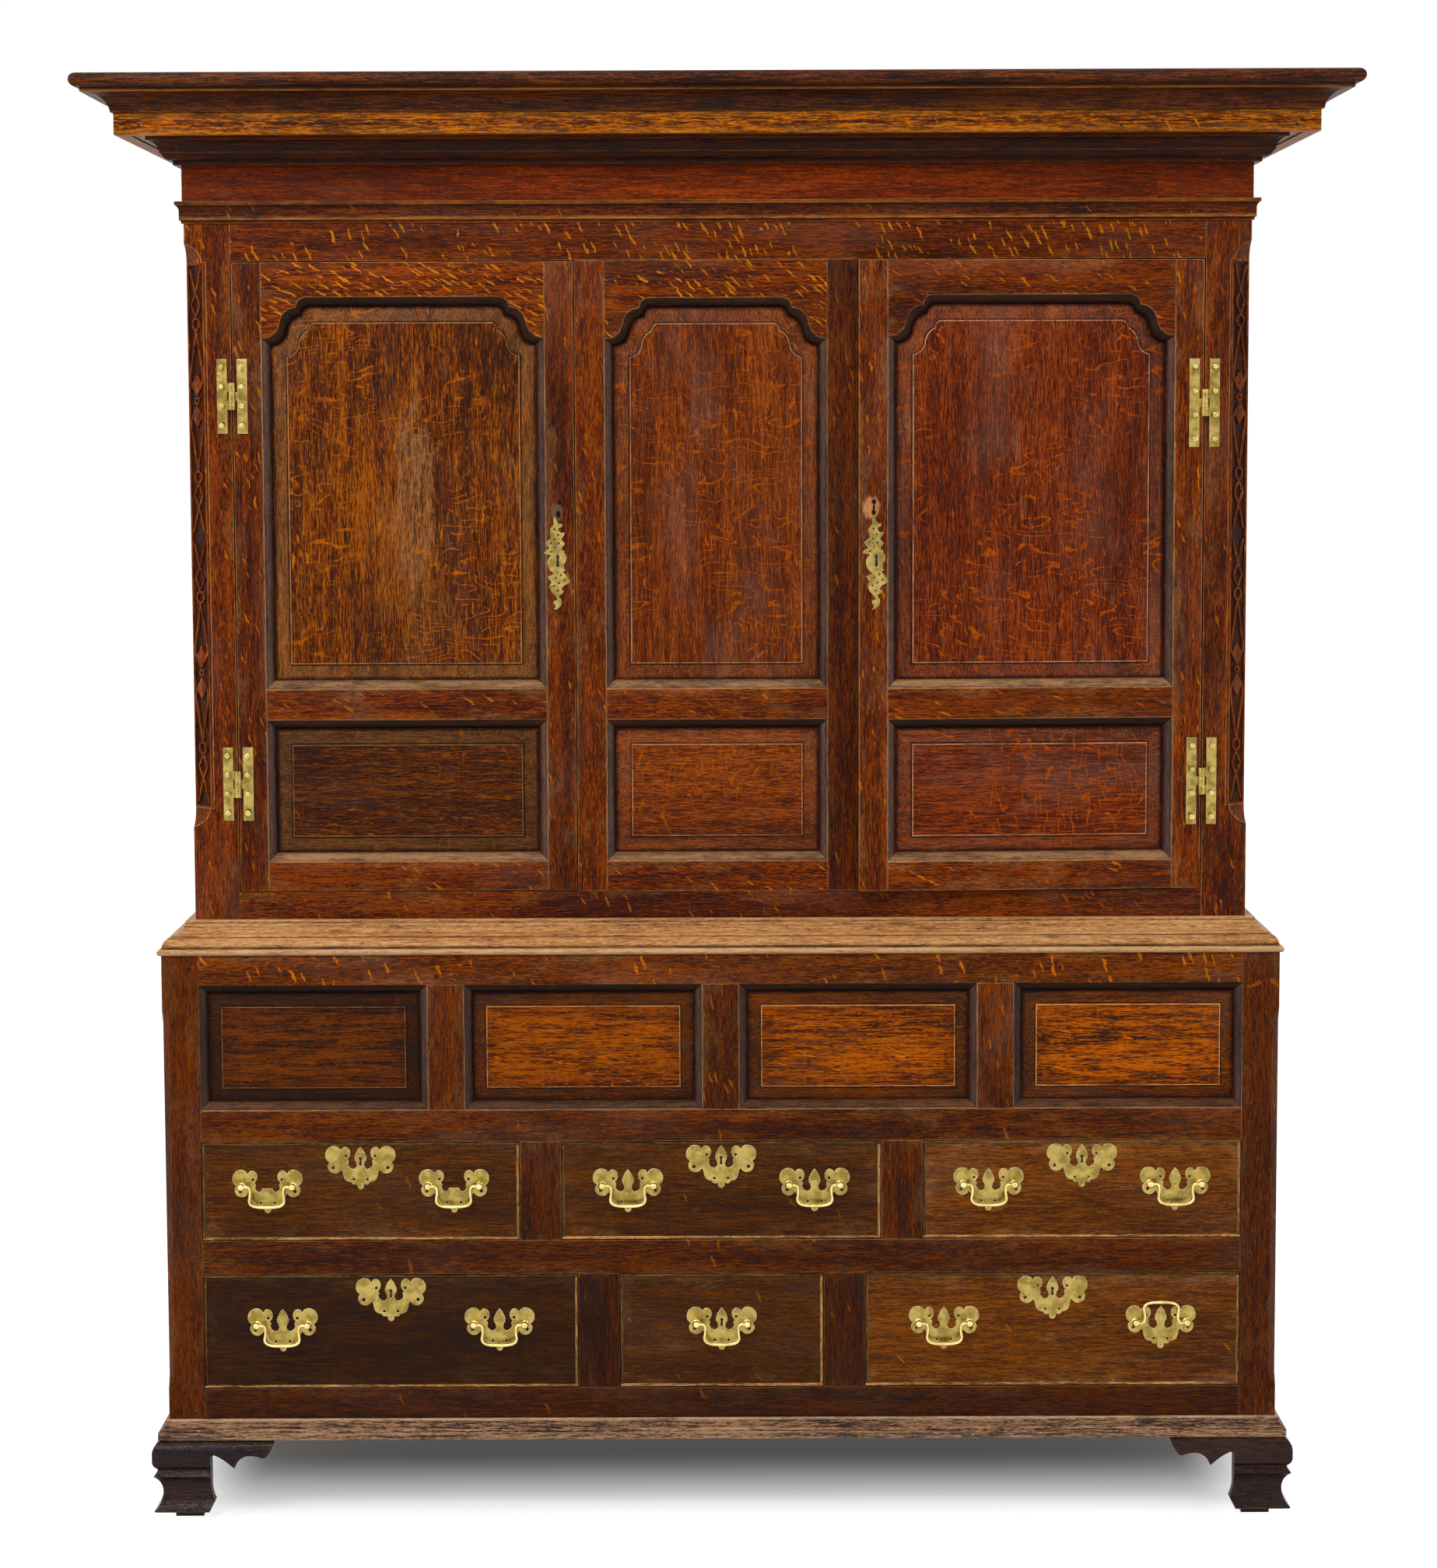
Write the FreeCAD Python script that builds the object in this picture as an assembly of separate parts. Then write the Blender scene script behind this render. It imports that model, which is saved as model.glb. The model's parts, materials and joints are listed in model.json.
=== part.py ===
import FreeCAD, Part
import math
import os

os.makedirs("parts", exist_ok=True)

# An oak linen press in two cases. The upper case is a cupboard with a pair of
# panelled doors and a fixed panelled centre, under a deep cornice. The lower case
# has four fixed panels over two rows of three drawers, on moulded bracket feet.
#
# Millimetres. +Z is up and the front faces -Y. The origin is on the floor, under
# the middle of the box that holds the whole press.

V = FreeCAD.Vector

# ---- Lower case -----------------------------------------------------------------
LOWER_WIDTH = 1564.0
LOWER_DEPTH = 560.0
FOOT_HEIGHT = 115.0
BOTTOM_RAIL = 71.0
LOW_DRAWER_HEIGHT = 164.0
DRAWER_RAIL = 48.0
HIGH_DRAWER_HEIGHT = 141.0
PANEL_RAIL = 45.0
LOW_PANEL_HEIGHT = 178.0
LOWER_TOP_RAIL = 46.0
LOWER_POST = 51.0
LOWER_POST_DEPTH = 54.0
DRAWER_DIVIDER = 58.0
HIGH_MIDDLE_DRAWER = 450.0
LOW_MIDDLE_DRAWER = 288.0
PANEL_MUNTIN = 51.0
INNER_LOW_PANEL = 334.0
LOW_CHAMFER = 9.0
LOW_CHAMFER_STOP = 18.0
LOW_CHAMFER_MARGIN = 36.0
LOW_FIELD_INSET = 31.0

# ---- Upper case -----------------------------------------------------------------
UPPER_SETBACK = 43.0
UPPER_BOTTOM_RAIL = 80.0
DOORWAY_HEIGHT = 880.0
UPPER_TOP_RAIL = 82.0
UPPER_POST = 63.0
CENTRE_WIDTH = 392.0
CENTRE_OFFSET = -3.5
CENTRE_STILE = 41.0
CENTRE_TOP_RAIL = 52.0
CENTRE_BOTTOM_RAIL = 42.0
MID_RAIL = 43.0
LOW_OPENING = 200.0
HIGH_FIELD_INSET = 35.0
CANT = 29.0
CANT_BLOCK_TOP = 58.0
CANT_BLOCK_BOTTOM = 173.0
CANT_STOP = 26.0
CANT_STEP = 4.0
FRET_RELIEF = 2.5
FRET_MARGIN = 2.0
FRET_BORDER = 2.4
FRET_STRAP = 3.0
FRET_UNITS = 2

# Half a unit of the fret from its end to its middle: how far out its straps run, as
# a share of the half width, and how far along, as a share of the unit.
FRET_STRAPS = (
    ((0.75, 0.02), (0.0, 0.11), (0.6, 0.152), (0.0, 0.195)),
    ((0.0, 0.245), (0.85, 0.4), (0.85, 0.43), (0.0, 0.48)),
)
FRET_LEAF = ((0.0, 0.4), (0.6, 0.435), (0.0, 0.48), (-0.6, 0.435))
FRET_RINGS = ((0.221, 9.0), (0.5, 5.5))

# ---- Framing, boards and doors ---------------------------------------------------
FRAME = 22.0
DOOR_THICKNESS = 21.5
DOOR_STILE = 40.0
DOOR_TOP_RAIL = 48.0
DOOR_BOTTOM_RAIL = 41.0
DOOR_GAP = 1.5
AJAR = 3.0
REAR_POST = 45.0
SIDE_RAIL = 70.0
SIDE_FIELD_INSET = 40.0
BACK_BOARD = 10.0
BACK_BOARD_COUNT = 7
FLOOR_BOARD = 20.0
CEILING_BOARD = 18.0
SHELF = 18.0
SHELF_BEARER = 22.0
SHELF_HEIGHTS = (300.0, 600.0)
SHELF_FRONT_GAP = 6.0
STOP_STRIP = 14.0
STOP_LAP = 8.0
DUST_BOARD = 10.0
GUIDE_HEIGHT = 26.0

# ---- Panel mouldings: how far in, and how far back, from the arris ---------------
LIP = 1.0
LIP_DEPTH = 0.5
OVOLO_STEPS = ((1.0, 1.2), (5.5, 2.6), (9.5, 5.5), (12.5, 9.5))
PANEL_MOULDING = 13.0
PANEL_GROUND = 12.0
PANEL_BACK = 20.0
FIELD_DEPTH = 4.0
FIELD_STEP = 1.5
CHORDS = 3
FLAT = 0.00001

# Shoulders of the shaped heads, from the stile in to the flat: across, up and bulge.
OPENING_SHOULDER = ((26.0, 21.0, -0.41), (23.0, 22.0, 0.41), (14.0, 14.0, 0.41))
FIELD_SHOULDER = ((17.0, 20.0, -0.36), (14.0, 17.0, 0.25), (8.0, 10.0, 0.41))

# ---- Drawers ---------------------------------------------------------------------
DRAWER_FRONT = 20.0
DRAWER_SIDE = 10.0
DRAWER_BOTTOM = 8.0
DRAWER_BOTTOM_LIFT = 6.0
DRAWER_LENGTH = 500.0
DRAWER_GAP = 1.0
DRAWER_SIDE_GAP = 2.0
DRAWER_SIDE_DROP = 12.0
DRAWER_RUN_GAP = 0.3
FRONT_SINK = 1.5
BEAD_WIDTH = 4.0
BEAD_PROUD = 2.0
LOCK_WIDTH = 60.0
LOCK_HEIGHT = 38.0
LOCK_THICKNESS = 9.0

# ---- Cornice and mouldings -------------------------------------------------------
CROWN_PROJECTION = 133.0
CROWN_BACK = 60.0
CROWN_TORUS = 9.5
FASCIA_PROJECTION = 81.0
FASCIA_THICKNESS = 20.0
FASCIA_HEIGHT = 30.0
FASCIA_DROP = 2.0
FRIEZE_PROJECTION = 1.5
FRIEZE_THICKNESS = 20.0
FRIEZE_VISIBLE = 49.0
FRIEZE_SEAM = 607.0
BED_HEIGHT = 38.0
BED_PROJECTION = 44.0
SOFFIT_LIFT = 8.0
SOFFIT = 10.0
CORNICE_BEARER = 35.0
CORNICE_BEARER_WIDTH = 45.0
CORNICE_BEARER_SPREAD = 560.0
TOP_BOARD = 12.0
TOP_BOARD_COUNT = 4
ARCHITRAVE_HEIGHT = 30.0
WAIST_RISE = 42.0
WAIST_LAP = 4.0
BASE_MOULDING = 28.0

# ---- Feet ------------------------------------------------------------------------
FOOT_BLOCK = 40.0
FOOT_LIFT = 10.0
FOOT_BACK = 6.0
FOOT_LENGTH = 150.0
REAR_FOOT_BOARD = 20.0

# ---- Brasses ---------------------------------------------------------------------
LEAF = 2.0
LEAF_WIDTH = 14.0
LEAF_START = 7.0
LEFT_HINGE = 103.0
RIGHT_HINGE = 122.0
KNUCKLE_HEIGHT = 37.0
KNUCKLE_RADIUS = 5.0
KNUCKLE_CLEAR = 0.3
PIN_RADIUS = 2.0
PIN_FIT = 0.08
LEFT_HINGE_LEVELS = (134.5, 675.5)
RIGHT_HINGE_LEVELS = (148.0, 675.5)
PLATE = 1.5
POST_SPACING = 71.8
POST_STAND = 12.0
POST_FOOT = 5.5
POST_BULB = 5.6
CURL_HOLE = (38.5, -10.5, 3.6)
KEYHOLE_LEVEL = 6.0
KEYHOLE_EYE = 2.6
KEYHOLE_SLOT = (1.4, 9.0)
BAIL_RADIUS = 2.3
BAIL_DROP = 29.0
BAIL_ARM = 25.4
BAIL_END_LAP = 3.0
BAIL_FIT = 0.35
BAIL_STOP_GAP = 0.6
HIGH_HANDLE_OFFSET = 131.2
LOW_HANDLE_OFFSET = 153.0
HIGH_POST_LEVEL = 79.5
LOW_POST_LEVEL = 93.0
HIGH_KEY_LEVEL = 113.0
LOW_KEY_LEVEL = 136.0
DOOR_KEY_LEVEL = 463.5
DOOR_KEY_INSET = 24.0
DOOR_LOCK = (31.0, 15.0, 80.0)

# The right edge of a back plate from its foot up, as moves (across, up).
PLATE_FOOT = -40.0
BODY_EDGE = ((4.5, 4.0), (5.5, 4.0), (10.0, 3.5), (7.0, 8.5))
CURL_EDGE = ((7.0, -1.5), (8.0, 1.5), (5.5, 6.0), (-0.5, 7.0), (-6.0, 6.0))
LOBE_EDGE = (
    (7.0, 3.0), (2.5, 8.5), (-3.5, 8.5), (-8.5, 4.0), (-8.5, -3.5), (-7.0, 1.5),
    (-7.0, -3.0), (-2.5, -7.0), (4.5, -6.0), (-2.5, -15.0), (-7.0, 0.0),
)
TAB_EDGE = ((0.0, 6.0), (-8.5, 0.0))
SPIRE_EDGE = ((-3.0, 4.0), (0.0, 10.0), (3.0, 2.5), (-3.5, 6.0), (1.5, 2.5), (-6.5, 7.0))
PIERCING = 2.6
PIERCING_SPREAD = 6.0
PEG_RADIUS = 4.0
PEG_LENGTH = 14.0
PEG_PROUD = 0.6
PEG_FIT = 0.05

# ---- Levels and planes worked out from the sizes above --------------------------
LOW_DRAWER_FLOOR = FOOT_HEIGHT + BOTTOM_RAIL
LOW_DRAWER_TOP = LOW_DRAWER_FLOOR + LOW_DRAWER_HEIGHT
HIGH_DRAWER_FLOOR = LOW_DRAWER_TOP + DRAWER_RAIL
HIGH_DRAWER_TOP = HIGH_DRAWER_FLOOR + HIGH_DRAWER_HEIGHT
LOW_PANEL_FLOOR = HIGH_DRAWER_TOP + PANEL_RAIL
LOW_PANEL_TOP = LOW_PANEL_FLOOR + LOW_PANEL_HEIGHT
LOWER_TOP = LOW_PANEL_TOP + LOWER_TOP_RAIL
DOORWAY_FLOOR = LOWER_TOP + UPPER_BOTTOM_RAIL
DOORWAY_TOP = DOORWAY_FLOOR + DOORWAY_HEIGHT
UPPER_TOP = DOORWAY_TOP + UPPER_TOP_RAIL
BED_FLOOR = UPPER_TOP + FRIEZE_VISIBLE
BED_TOP = BED_FLOOR + BED_HEIGHT
FASCIA_FLOOR = BED_TOP - FASCIA_DROP
FASCIA_TOP = FASCIA_FLOOR + FASCIA_HEIGHT
SOFFIT_FLOOR = BED_TOP + SOFFIT_LIFT
FRIEZE_TOP = SOFFIT_FLOOR + SOFFIT
TOP_BOARD_FLOOR = FRIEZE_TOP + CORNICE_BEARER

LOWER_HALF = LOWER_WIDTH / 2
UPPER_HALF = LOWER_HALF - UPPER_SETBACK
LOWER_FRONT = (CROWN_PROJECTION - UPPER_SETBACK - LOWER_DEPTH) / 2
UPPER_FRONT = LOWER_FRONT + UPPER_SETBACK
BACK = LOWER_FRONT + LOWER_DEPTH
BACK_INNER = BACK - BACK_BOARD

LOW_OPENING_EDGE = LOWER_HALF - LOWER_POST
DOORWAY_EDGE = UPPER_HALF - UPPER_POST
CENTRE_LEFT = CENTRE_OFFSET - CENTRE_WIDTH / 2
CENTRE_RIGHT = CENTRE_OFFSET + CENTRE_WIDTH / 2
HINGE_X = DOORWAY_EDGE - DOOR_GAP / 2
HINGE_Y = UPPER_FRONT - KNUCKLE_RADIUS - KNUCKLE_CLEAR
INNER_SIDE_UPPER = UPPER_HALF - FRAME
INNER_SIDE_LOWER = LOWER_HALF - FRAME
DRAWER_FACE = LOWER_FRONT + FRONT_SINK
BAIL_Y = DRAWER_FACE - PLATE - POST_STAND


# ---- Shape makers ----------------------------------------------------------------
def block(x, y, z):
    """A box between the low and high value of each pair."""
    return Part.makeBox(x[1] - x[0], y[1] - y[0], z[1] - z[0], V(x[0], y[0], z[0]))


def traced(start, moves, place):
    """A closed wire. A move is (across, up) for a straight and (across, up, bulge)
    for an arc, whose bulge is its rise over half its chord, positive to the left."""
    edges = []
    a, b = start
    for move in moves:
        da, db = move[0], move[1]
        if len(move) == 3:
            middle = (a + da / 2 - db / 2 * move[2], b + db / 2 + da / 2 * move[2])
            arc = Part.Arc(place(a, b), place(*middle), place(a + da, b + db))
            edges.append(arc.toShape())
        else:
            edges.append(Part.makeLine(place(a, b), place(a + da, b + db)))
        a += da
        b += db
    if math.hypot(a - start[0], b - start[1]) > 0.001:
        edges.append(Part.makeLine(place(a, b), place(*start)))
    return Part.Wire(edges)


def prism(wire, way):
    return Part.Face(wire).extrude(way)


def plan_prism(corners, z):
    """A prism that stands on corners given as (x, y)."""
    points = [V(x, y, z[0]) for x, y in corners]
    return prism(Part.makePolygon(points + points[:1]), V(0, 0, z[1] - z[0]))


def mirrored(shape):
    return shape.mirror(V(0, 0, 0), V(1, 0, 0))


def both_sides(shape):
    return [shape, mirrored(shape)]


def moulding(start, moves, half, front):
    """A front length and two returns, mitred at the corners. The section is traced
    as (projection from the case, height)."""
    box = traced(start, moves, lambda p, z: V(p, 0, z)).BoundBox
    low = box.XMin - 1
    high = box.XMax + 1
    z = (box.ZMin - 1, box.ZMax + 1)
    left = -half - high
    front_bar = prism(traced(start, moves, lambda p, h: V(left, front - p, h)), V(-2 * left, 0, 0))
    side_bar = prism(
        traced(start, moves, lambda p, h: V(-half - p, front - high, h)), V(0, BACK - front + high, 0)
    )
    outer = (-half - high, front - high)
    inner = (-half - low, front - low)
    front_plan = (outer, (-outer[0], outer[1]), (-inner[0], inner[1]), inner)
    side_plan = (outer, inner, (inner[0], BACK), (outer[0], BACK))
    side = side_bar.common(plan_prism(side_plan, z))
    return [front_bar.common(plan_prism(front_plan, z))] + both_sides(side)


def skin(rings):
    """A solid with flat facets between rings of as many points, and flat ends."""
    faces = [facet(rings[0]), facet(rings[-1])]
    for lower, upper in zip(rings, rings[1:]):
        for n in range(len(lower)):
            m = (n + 1) % len(lower)
            corners = [lower[n], lower[m], upper[m], upper[n]]
            normal = (corners[1] - corners[0]).cross(corners[3] - corners[0])
            if abs(normal.dot(corners[2] - corners[0])) < FLAT * normal.Length:
                faces.append(facet(corners))
            else:
                faces.append(facet(corners[:3]))
                faces.append(facet([corners[0]] + corners[2:]))
    solid = Part.Solid(Part.Shell(faces))
    if solid.Volume < 0:
        solid.reverse()
    return solid


def facet(points):
    return Part.Face(Part.makePolygon(points + points[:1]))


def even_sided(radius, place, sides=8):
    """The corners of an even polygon of the given radius over its flats."""
    corner = radius / math.cos(math.pi / sides)
    turns = [2 * math.pi * (n + 0.5) / sides for n in range(sides)]
    return [place(corner * math.cos(turn), corner * math.sin(turn)) for turn in turns]


def blend(first, second, share):
    """Each number of first, moved by a share of the way to its match in second."""
    return [tuple(p + (q - p) * share for p, q in zip(a, b)) for a, b in zip(first, second)]


def chords(move):
    """An arc move (across, up, bulge) as CHORDS straight moves."""
    across, up, bulge = move
    half = 2 * math.atan(bulge)
    places = []
    for n in range(CHORDS + 1):
        turn = half * (2 * n / CHORDS - 1)
        along = 0.5 + math.sin(turn) / math.sin(half) / 2
        rise = (math.cos(turn) - math.cos(half)) / math.sin(half) / 2
        places.append((across * along - up * rise, up * along + across * rise))
    return [(b[0] - a[0], b[1] - a[1]) for a, b in zip(places, places[1:])]


def opening_corners(x, z, y, inset=0.0, field=None):
    """The corners of a panel opening in the plane y, drawn in by inset. With field,
    the inset of the raised field, its head has shaped shoulders."""
    x = (x[0] + inset, x[1] - inset)
    z = (z[0] + inset, z[1] - inset)
    points = [V(x[0], y, z[0]), V(x[1], y, z[0])]
    if field is None:
        return points + [V(x[1], y, z[1]), V(x[0], y, z[1])]
    shoulder = [chord for move in blend(OPENING_SHOULDER, FIELD_SHOULDER, inset / field) for chord in chords(move)]
    right = [(x[1], z[1] - sum(move[1] for move in shoulder))]
    for across, up in shoulder:
        right.append((right[-1][0] - across, right[-1][1] + up))
    left = [(x[0] + x[1] - a, b) for a, b in reversed(right)]
    return points + [V(a, y, b) for a, b in right + left]


def panel(x, z, front, field, shaped=False):
    """A raised and fielded panel that fills an opening behind its moulding."""
    head = field if shaped else None
    stations = [(0, PANEL_BACK), (0, PANEL_GROUND), (PANEL_MOULDING, PANEL_GROUND)]
    stations += [(field, FIELD_DEPTH + FIELD_STEP), (field, FIELD_DEPTH)]
    return skin([opening_corners(x, z, front + depth, inset, head) for inset, depth in stations])


def panel_moulding(x, z, front, field, shaped=False):
    """The ovolo worked round an opening, as a ring with a tapering mouth."""
    head = field if shaped else None
    outer = [opening_corners(x, z, front + depth, 0, head) for depth in (LIP_DEPTH, PANEL_GROUND)]
    stations = ((LIP, -LIP),) + OVOLO_STEPS + ((PANEL_MOULDING, PANEL_GROUND + LIP),)
    mouth = skin([opening_corners(x, z, front + depth, inset, head) for inset, depth in stations])
    return skin(outer).cut(mouth)


def shaped_rail(x, z, opening, thickness, front, field):
    """A top rail whose lower edge follows the shaped head of the opening below it."""
    drop = sum(move[1] for move in OPENING_SHOULDER)
    rail = block(x, (front, front + thickness), (z[0] - drop, z[1]))
    mouth = [opening_corners(x, opening, y, 0, field) for y in (front - 1, front + thickness + 1)]
    return rail.cut(skin(mouth))


def save(name, solids):
    Part.makeCompound(solids).exportStep("parts/%s.step" % name)


# ---- Cornice ---------------------------------------------------------------------
def crown_moulding():
    nose = CROWN_PROJECTION - CROWN_TORUS
    moves = [(25, 0), (0, 2), (27, 23, 0.36), (8, 0), (0, 6), (nose - CROWN_BACK - 60, 0)]
    moves += [(0, 2 * CROWN_TORUS, -1), (CROWN_BACK - nose, 0)]
    return moulding((CROWN_BACK, FASCIA_TOP), moves, UPPER_HALF, UPPER_FRONT)


def cornice_fascia():
    start = (FASCIA_PROJECTION - FASCIA_THICKNESS, FASCIA_FLOOR)
    moves = [(FASCIA_THICKNESS, 0), (0, FASCIA_HEIGHT), (-FASCIA_THICKNESS, 0)]
    return moulding(start, moves, UPPER_HALF, UPPER_FRONT)


def bed_moulding():
    start = (FRIEZE_PROJECTION, BED_FLOOR)
    moves = [(10, 0), (0, 6), (2, 0), (12, 9, -0.3), (2, 0), (14, 17, 0.36)]
    moves += [(BED_PROJECTION - FRIEZE_PROJECTION - 40, 0), (0, BED_HEIGHT - 32)]
    moves += [(FRIEZE_PROJECTION - BED_PROJECTION, 0)]
    return moulding(start, moves, UPPER_HALF, UPPER_FRONT)


def frieze():
    start = (FRIEZE_PROJECTION - FRIEZE_THICKNESS, UPPER_TOP)
    moves = [(FRIEZE_THICKNESS, 0), (0, FRIEZE_TOP - UPPER_TOP), (-FRIEZE_THICKNESS, 0)]
    front, *returns = moulding(start, moves, UPPER_HALF, UPPER_FRONT)
    reach = (UPPER_FRONT - 2 * FRIEZE_PROJECTION, BACK)
    boards = []
    for x in ((-2 * UPPER_HALF, FRIEZE_SEAM), (FRIEZE_SEAM, 2 * UPPER_HALF)):
        boards.append(front.common(block(x, reach, (UPPER_TOP, FRIEZE_TOP))))
    boards += returns
    inner = UPPER_HALF + FRIEZE_PROJECTION - FRIEZE_THICKNESS
    rear = block((-inner, inner), (BACK - FRIEZE_THICKNESS, BACK), (UPPER_TOP, FRIEZE_TOP))
    return boards + [rear]


def cornice_boards():
    """The soffit behind the front fascia, the bearers over the frieze and the top."""
    half = UPPER_HALF + FASCIA_PROJECTION - FASCIA_THICKNESS
    inner = UPPER_FRONT - FASCIA_PROJECTION + FASCIA_THICKNESS
    soffit_y = (inner, UPPER_FRONT - FRIEZE_PROJECTION)
    solids = [block((-half, half), soffit_y, (SOFFIT_FLOOR, FRIEZE_TOP))]
    crown_inner = UPPER_FRONT - CROWN_BACK
    for x in (-CORNICE_BEARER_SPREAD, 0, CORNICE_BEARER_SPREAD):
        width = (x - CORNICE_BEARER_WIDTH / 2, x + CORNICE_BEARER_WIDTH / 2)
        solids.append(block(width, (crown_inner, BACK), (FRIEZE_TOP, TOP_BOARD_FLOOR)))
    side = UPPER_HALF + CROWN_BACK
    depth = (BACK - crown_inner) / TOP_BOARD_COUNT
    for n in range(TOP_BOARD_COUNT):
        y = (crown_inner + n * depth, crown_inner + (n + 1) * depth)
        solids.append(block((-side, side), y, (TOP_BOARD_FLOOR, TOP_BOARD_FLOOR + TOP_BOARD)))
    return solids


def architrave_moulding():
    moves = [(3, 0), (0, 4), (2.5, 0), (0, 11.5), (5, 9.5, 0.3), (0.5, 0), (0, ARCHITRAVE_HEIGHT - 25)]
    moves += [(-11, 0)]
    return moulding((0, UPPER_TOP - ARCHITRAVE_HEIGHT), moves, UPPER_HALF, UPPER_FRONT)


# ---- Upper case ------------------------------------------------------------------
def cant_tool():
    """What is cut from the left front post: a bevel that stops in scooped ends."""
    depth = CANT / math.sqrt(2)
    corner = V(-UPPER_HALF, UPPER_FRONT, 0)
    outward = V(-1, -1, 0).normalize()
    along = V(1, -1, 0).normalize()
    low = LOWER_TOP + CANT_BLOCK_BOTTOM
    high = UPPER_TOP - CANT_BLOCK_TOP
    length = high - low - 2 * CANT_STOP
    scoop = depth - CANT_STEP
    moves = [(0, high - low), (-5, 0), (-scoop, -CANT_STOP, -0.3), (-CANT_STEP, 0), (0, -length)]
    moves += [(CANT_STEP, 0), (scoop, -CANT_STOP, -0.3)]

    def place(s, z):
        return corner + outward * s + along * (-2 * CANT) + V(0, 0, z)

    return prism(traced((5, low), moves, place), along * (4 * CANT))


def upper_posts():
    depth = (UPPER_FRONT, UPPER_FRONT + UPPER_POST)
    post = block((-UPPER_HALF, -DOORWAY_EDGE), depth, (LOWER_TOP, UPPER_TOP)).cut(cant_tool())
    rear_y = (BACK_INNER - REAR_POST, BACK_INNER)
    rear = block((-UPPER_HALF, REAR_POST - UPPER_HALF), rear_y, (LOWER_TOP, UPPER_TOP))
    return both_sides(post) + both_sides(rear)


def strap(start, end, width):
    """The corners of a flat strap between two points."""
    run = math.hypot(end[0] - start[0], end[1] - start[1])
    side = ((start[1] - end[1]) / run * width / 2, (end[0] - start[0]) / run * width / 2)
    corners = [(start, -1), (end, -1), (end, 1), (start, 1)]
    return [(p[0] + k * side[0], p[1] + k * side[1]) for p, k in corners]


def blind_fretwork():
    """Straps that cross in lozenges and long ovals, with rings and leaves between, in
    a narrow border on the cant."""
    corner = V(-UPPER_HALF, UPPER_FRONT, 0)
    outward = V(-1, -1, 0).normalize()
    along = V(1, -1, 0).normalize()
    ground = -CANT / math.sqrt(2)
    low = LOWER_TOP + CANT_BLOCK_BOTTOM + CANT_STOP
    high = UPPER_TOP - CANT_BLOCK_TOP - CANT_STOP
    unit = (high - low) / FRET_UNITS
    edge = CANT / math.sqrt(2) - FRET_MARGIN
    half = edge - FRET_BORDER

    def place(u, z):
        return corner + outward * ground + along * u + V(0, 0, z)

    def plate(points):
        return facet([place(u, z) for u, z in points]).extrude(outward * FRET_RELIEF)

    def frame(inset):
        u, z0, z1 = edge - inset, low + inset, high - inset
        return plate([(-u, z0), (u, z0), (u, z1), (-u, z1)])

    parts = [frame(0).cut(frame(FRET_BORDER))]
    for n in range(FRET_UNITS):
        for end, way in ((low + n * unit, 1), (low + (n + 1) * unit, -1)):
            parts.append(plate([(u * half, end + way * share * unit) for u, share in FRET_LEAF]))
            for line in FRET_STRAPS:
                for side in (-1, 1):
                    points = [(side * u * half, end + way * share * unit) for u, share in line]
                    parts += [plate(strap(p, q, FRET_STRAP)) for p, q in zip(points, points[1:])]
            for share, radius in FRET_RINGS[: 1 + (way > 0)]:
                level = end + way * share * unit
                rims = [even_sided(r, lambda u, v: (u, level + v)) for r in (radius, radius - FRET_STRAP)]
                parts.append(plate(rims[0]).cut(plate(rims[1])))
    fret = parts[0].multiFuse(parts[1:]).removeSplitter()
    return both_sides(fret)


def upper_rails():
    y = (UPPER_FRONT, UPPER_FRONT + FRAME)
    x = (-DOORWAY_EDGE, DOORWAY_EDGE)
    rear_x = (REAR_POST - UPPER_HALF, UPPER_HALF - REAR_POST)
    rear_y = (BACK_INNER - FRAME, BACK_INNER)
    low = (LOWER_TOP, DOORWAY_FLOOR)
    high = (DOORWAY_TOP, UPPER_TOP)
    return [block(x, y, low), block(x, y, high), block(rear_x, rear_y, low), block(rear_x, rear_y, high)]


CENTRE_OPENING_X = (CENTRE_LEFT + CENTRE_STILE, CENTRE_RIGHT - CENTRE_STILE)
CENTRE_LOW_Z = (DOORWAY_FLOOR + CENTRE_BOTTOM_RAIL, DOORWAY_FLOOR + CENTRE_BOTTOM_RAIL + LOW_OPENING)
CENTRE_HIGH_Z = (CENTRE_LOW_Z[1] + MID_RAIL, DOORWAY_TOP - CENTRE_TOP_RAIL)


def centre_frame():
    y = (UPPER_FRONT, UPPER_FRONT + FRAME)
    x = CENTRE_OPENING_X
    full = (DOORWAY_FLOOR, DOORWAY_TOP)
    return [
        block((CENTRE_LEFT, x[0]), y, full),
        block((x[1], CENTRE_RIGHT), y, full),
        block(x, y, (DOORWAY_FLOOR, CENTRE_LOW_Z[0])),
        block(x, y, (CENTRE_LOW_Z[1], CENTRE_HIGH_Z[0])),
        shaped_rail(x, (CENTRE_HIGH_Z[1], DOORWAY_TOP), CENTRE_HIGH_Z, FRAME, UPPER_FRONT, HIGH_FIELD_INSET),
    ]


def centre_panels():
    solids = []
    for z, shaped in ((CENTRE_LOW_Z, False), (CENTRE_HIGH_Z, True)):
        solids.append(panel(CENTRE_OPENING_X, z, UPPER_FRONT, HIGH_FIELD_INSET, shaped))
        solids.append(panel_moulding(CENTRE_OPENING_X, z, UPPER_FRONT, HIGH_FIELD_INSET, shaped))
    return solids


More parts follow.
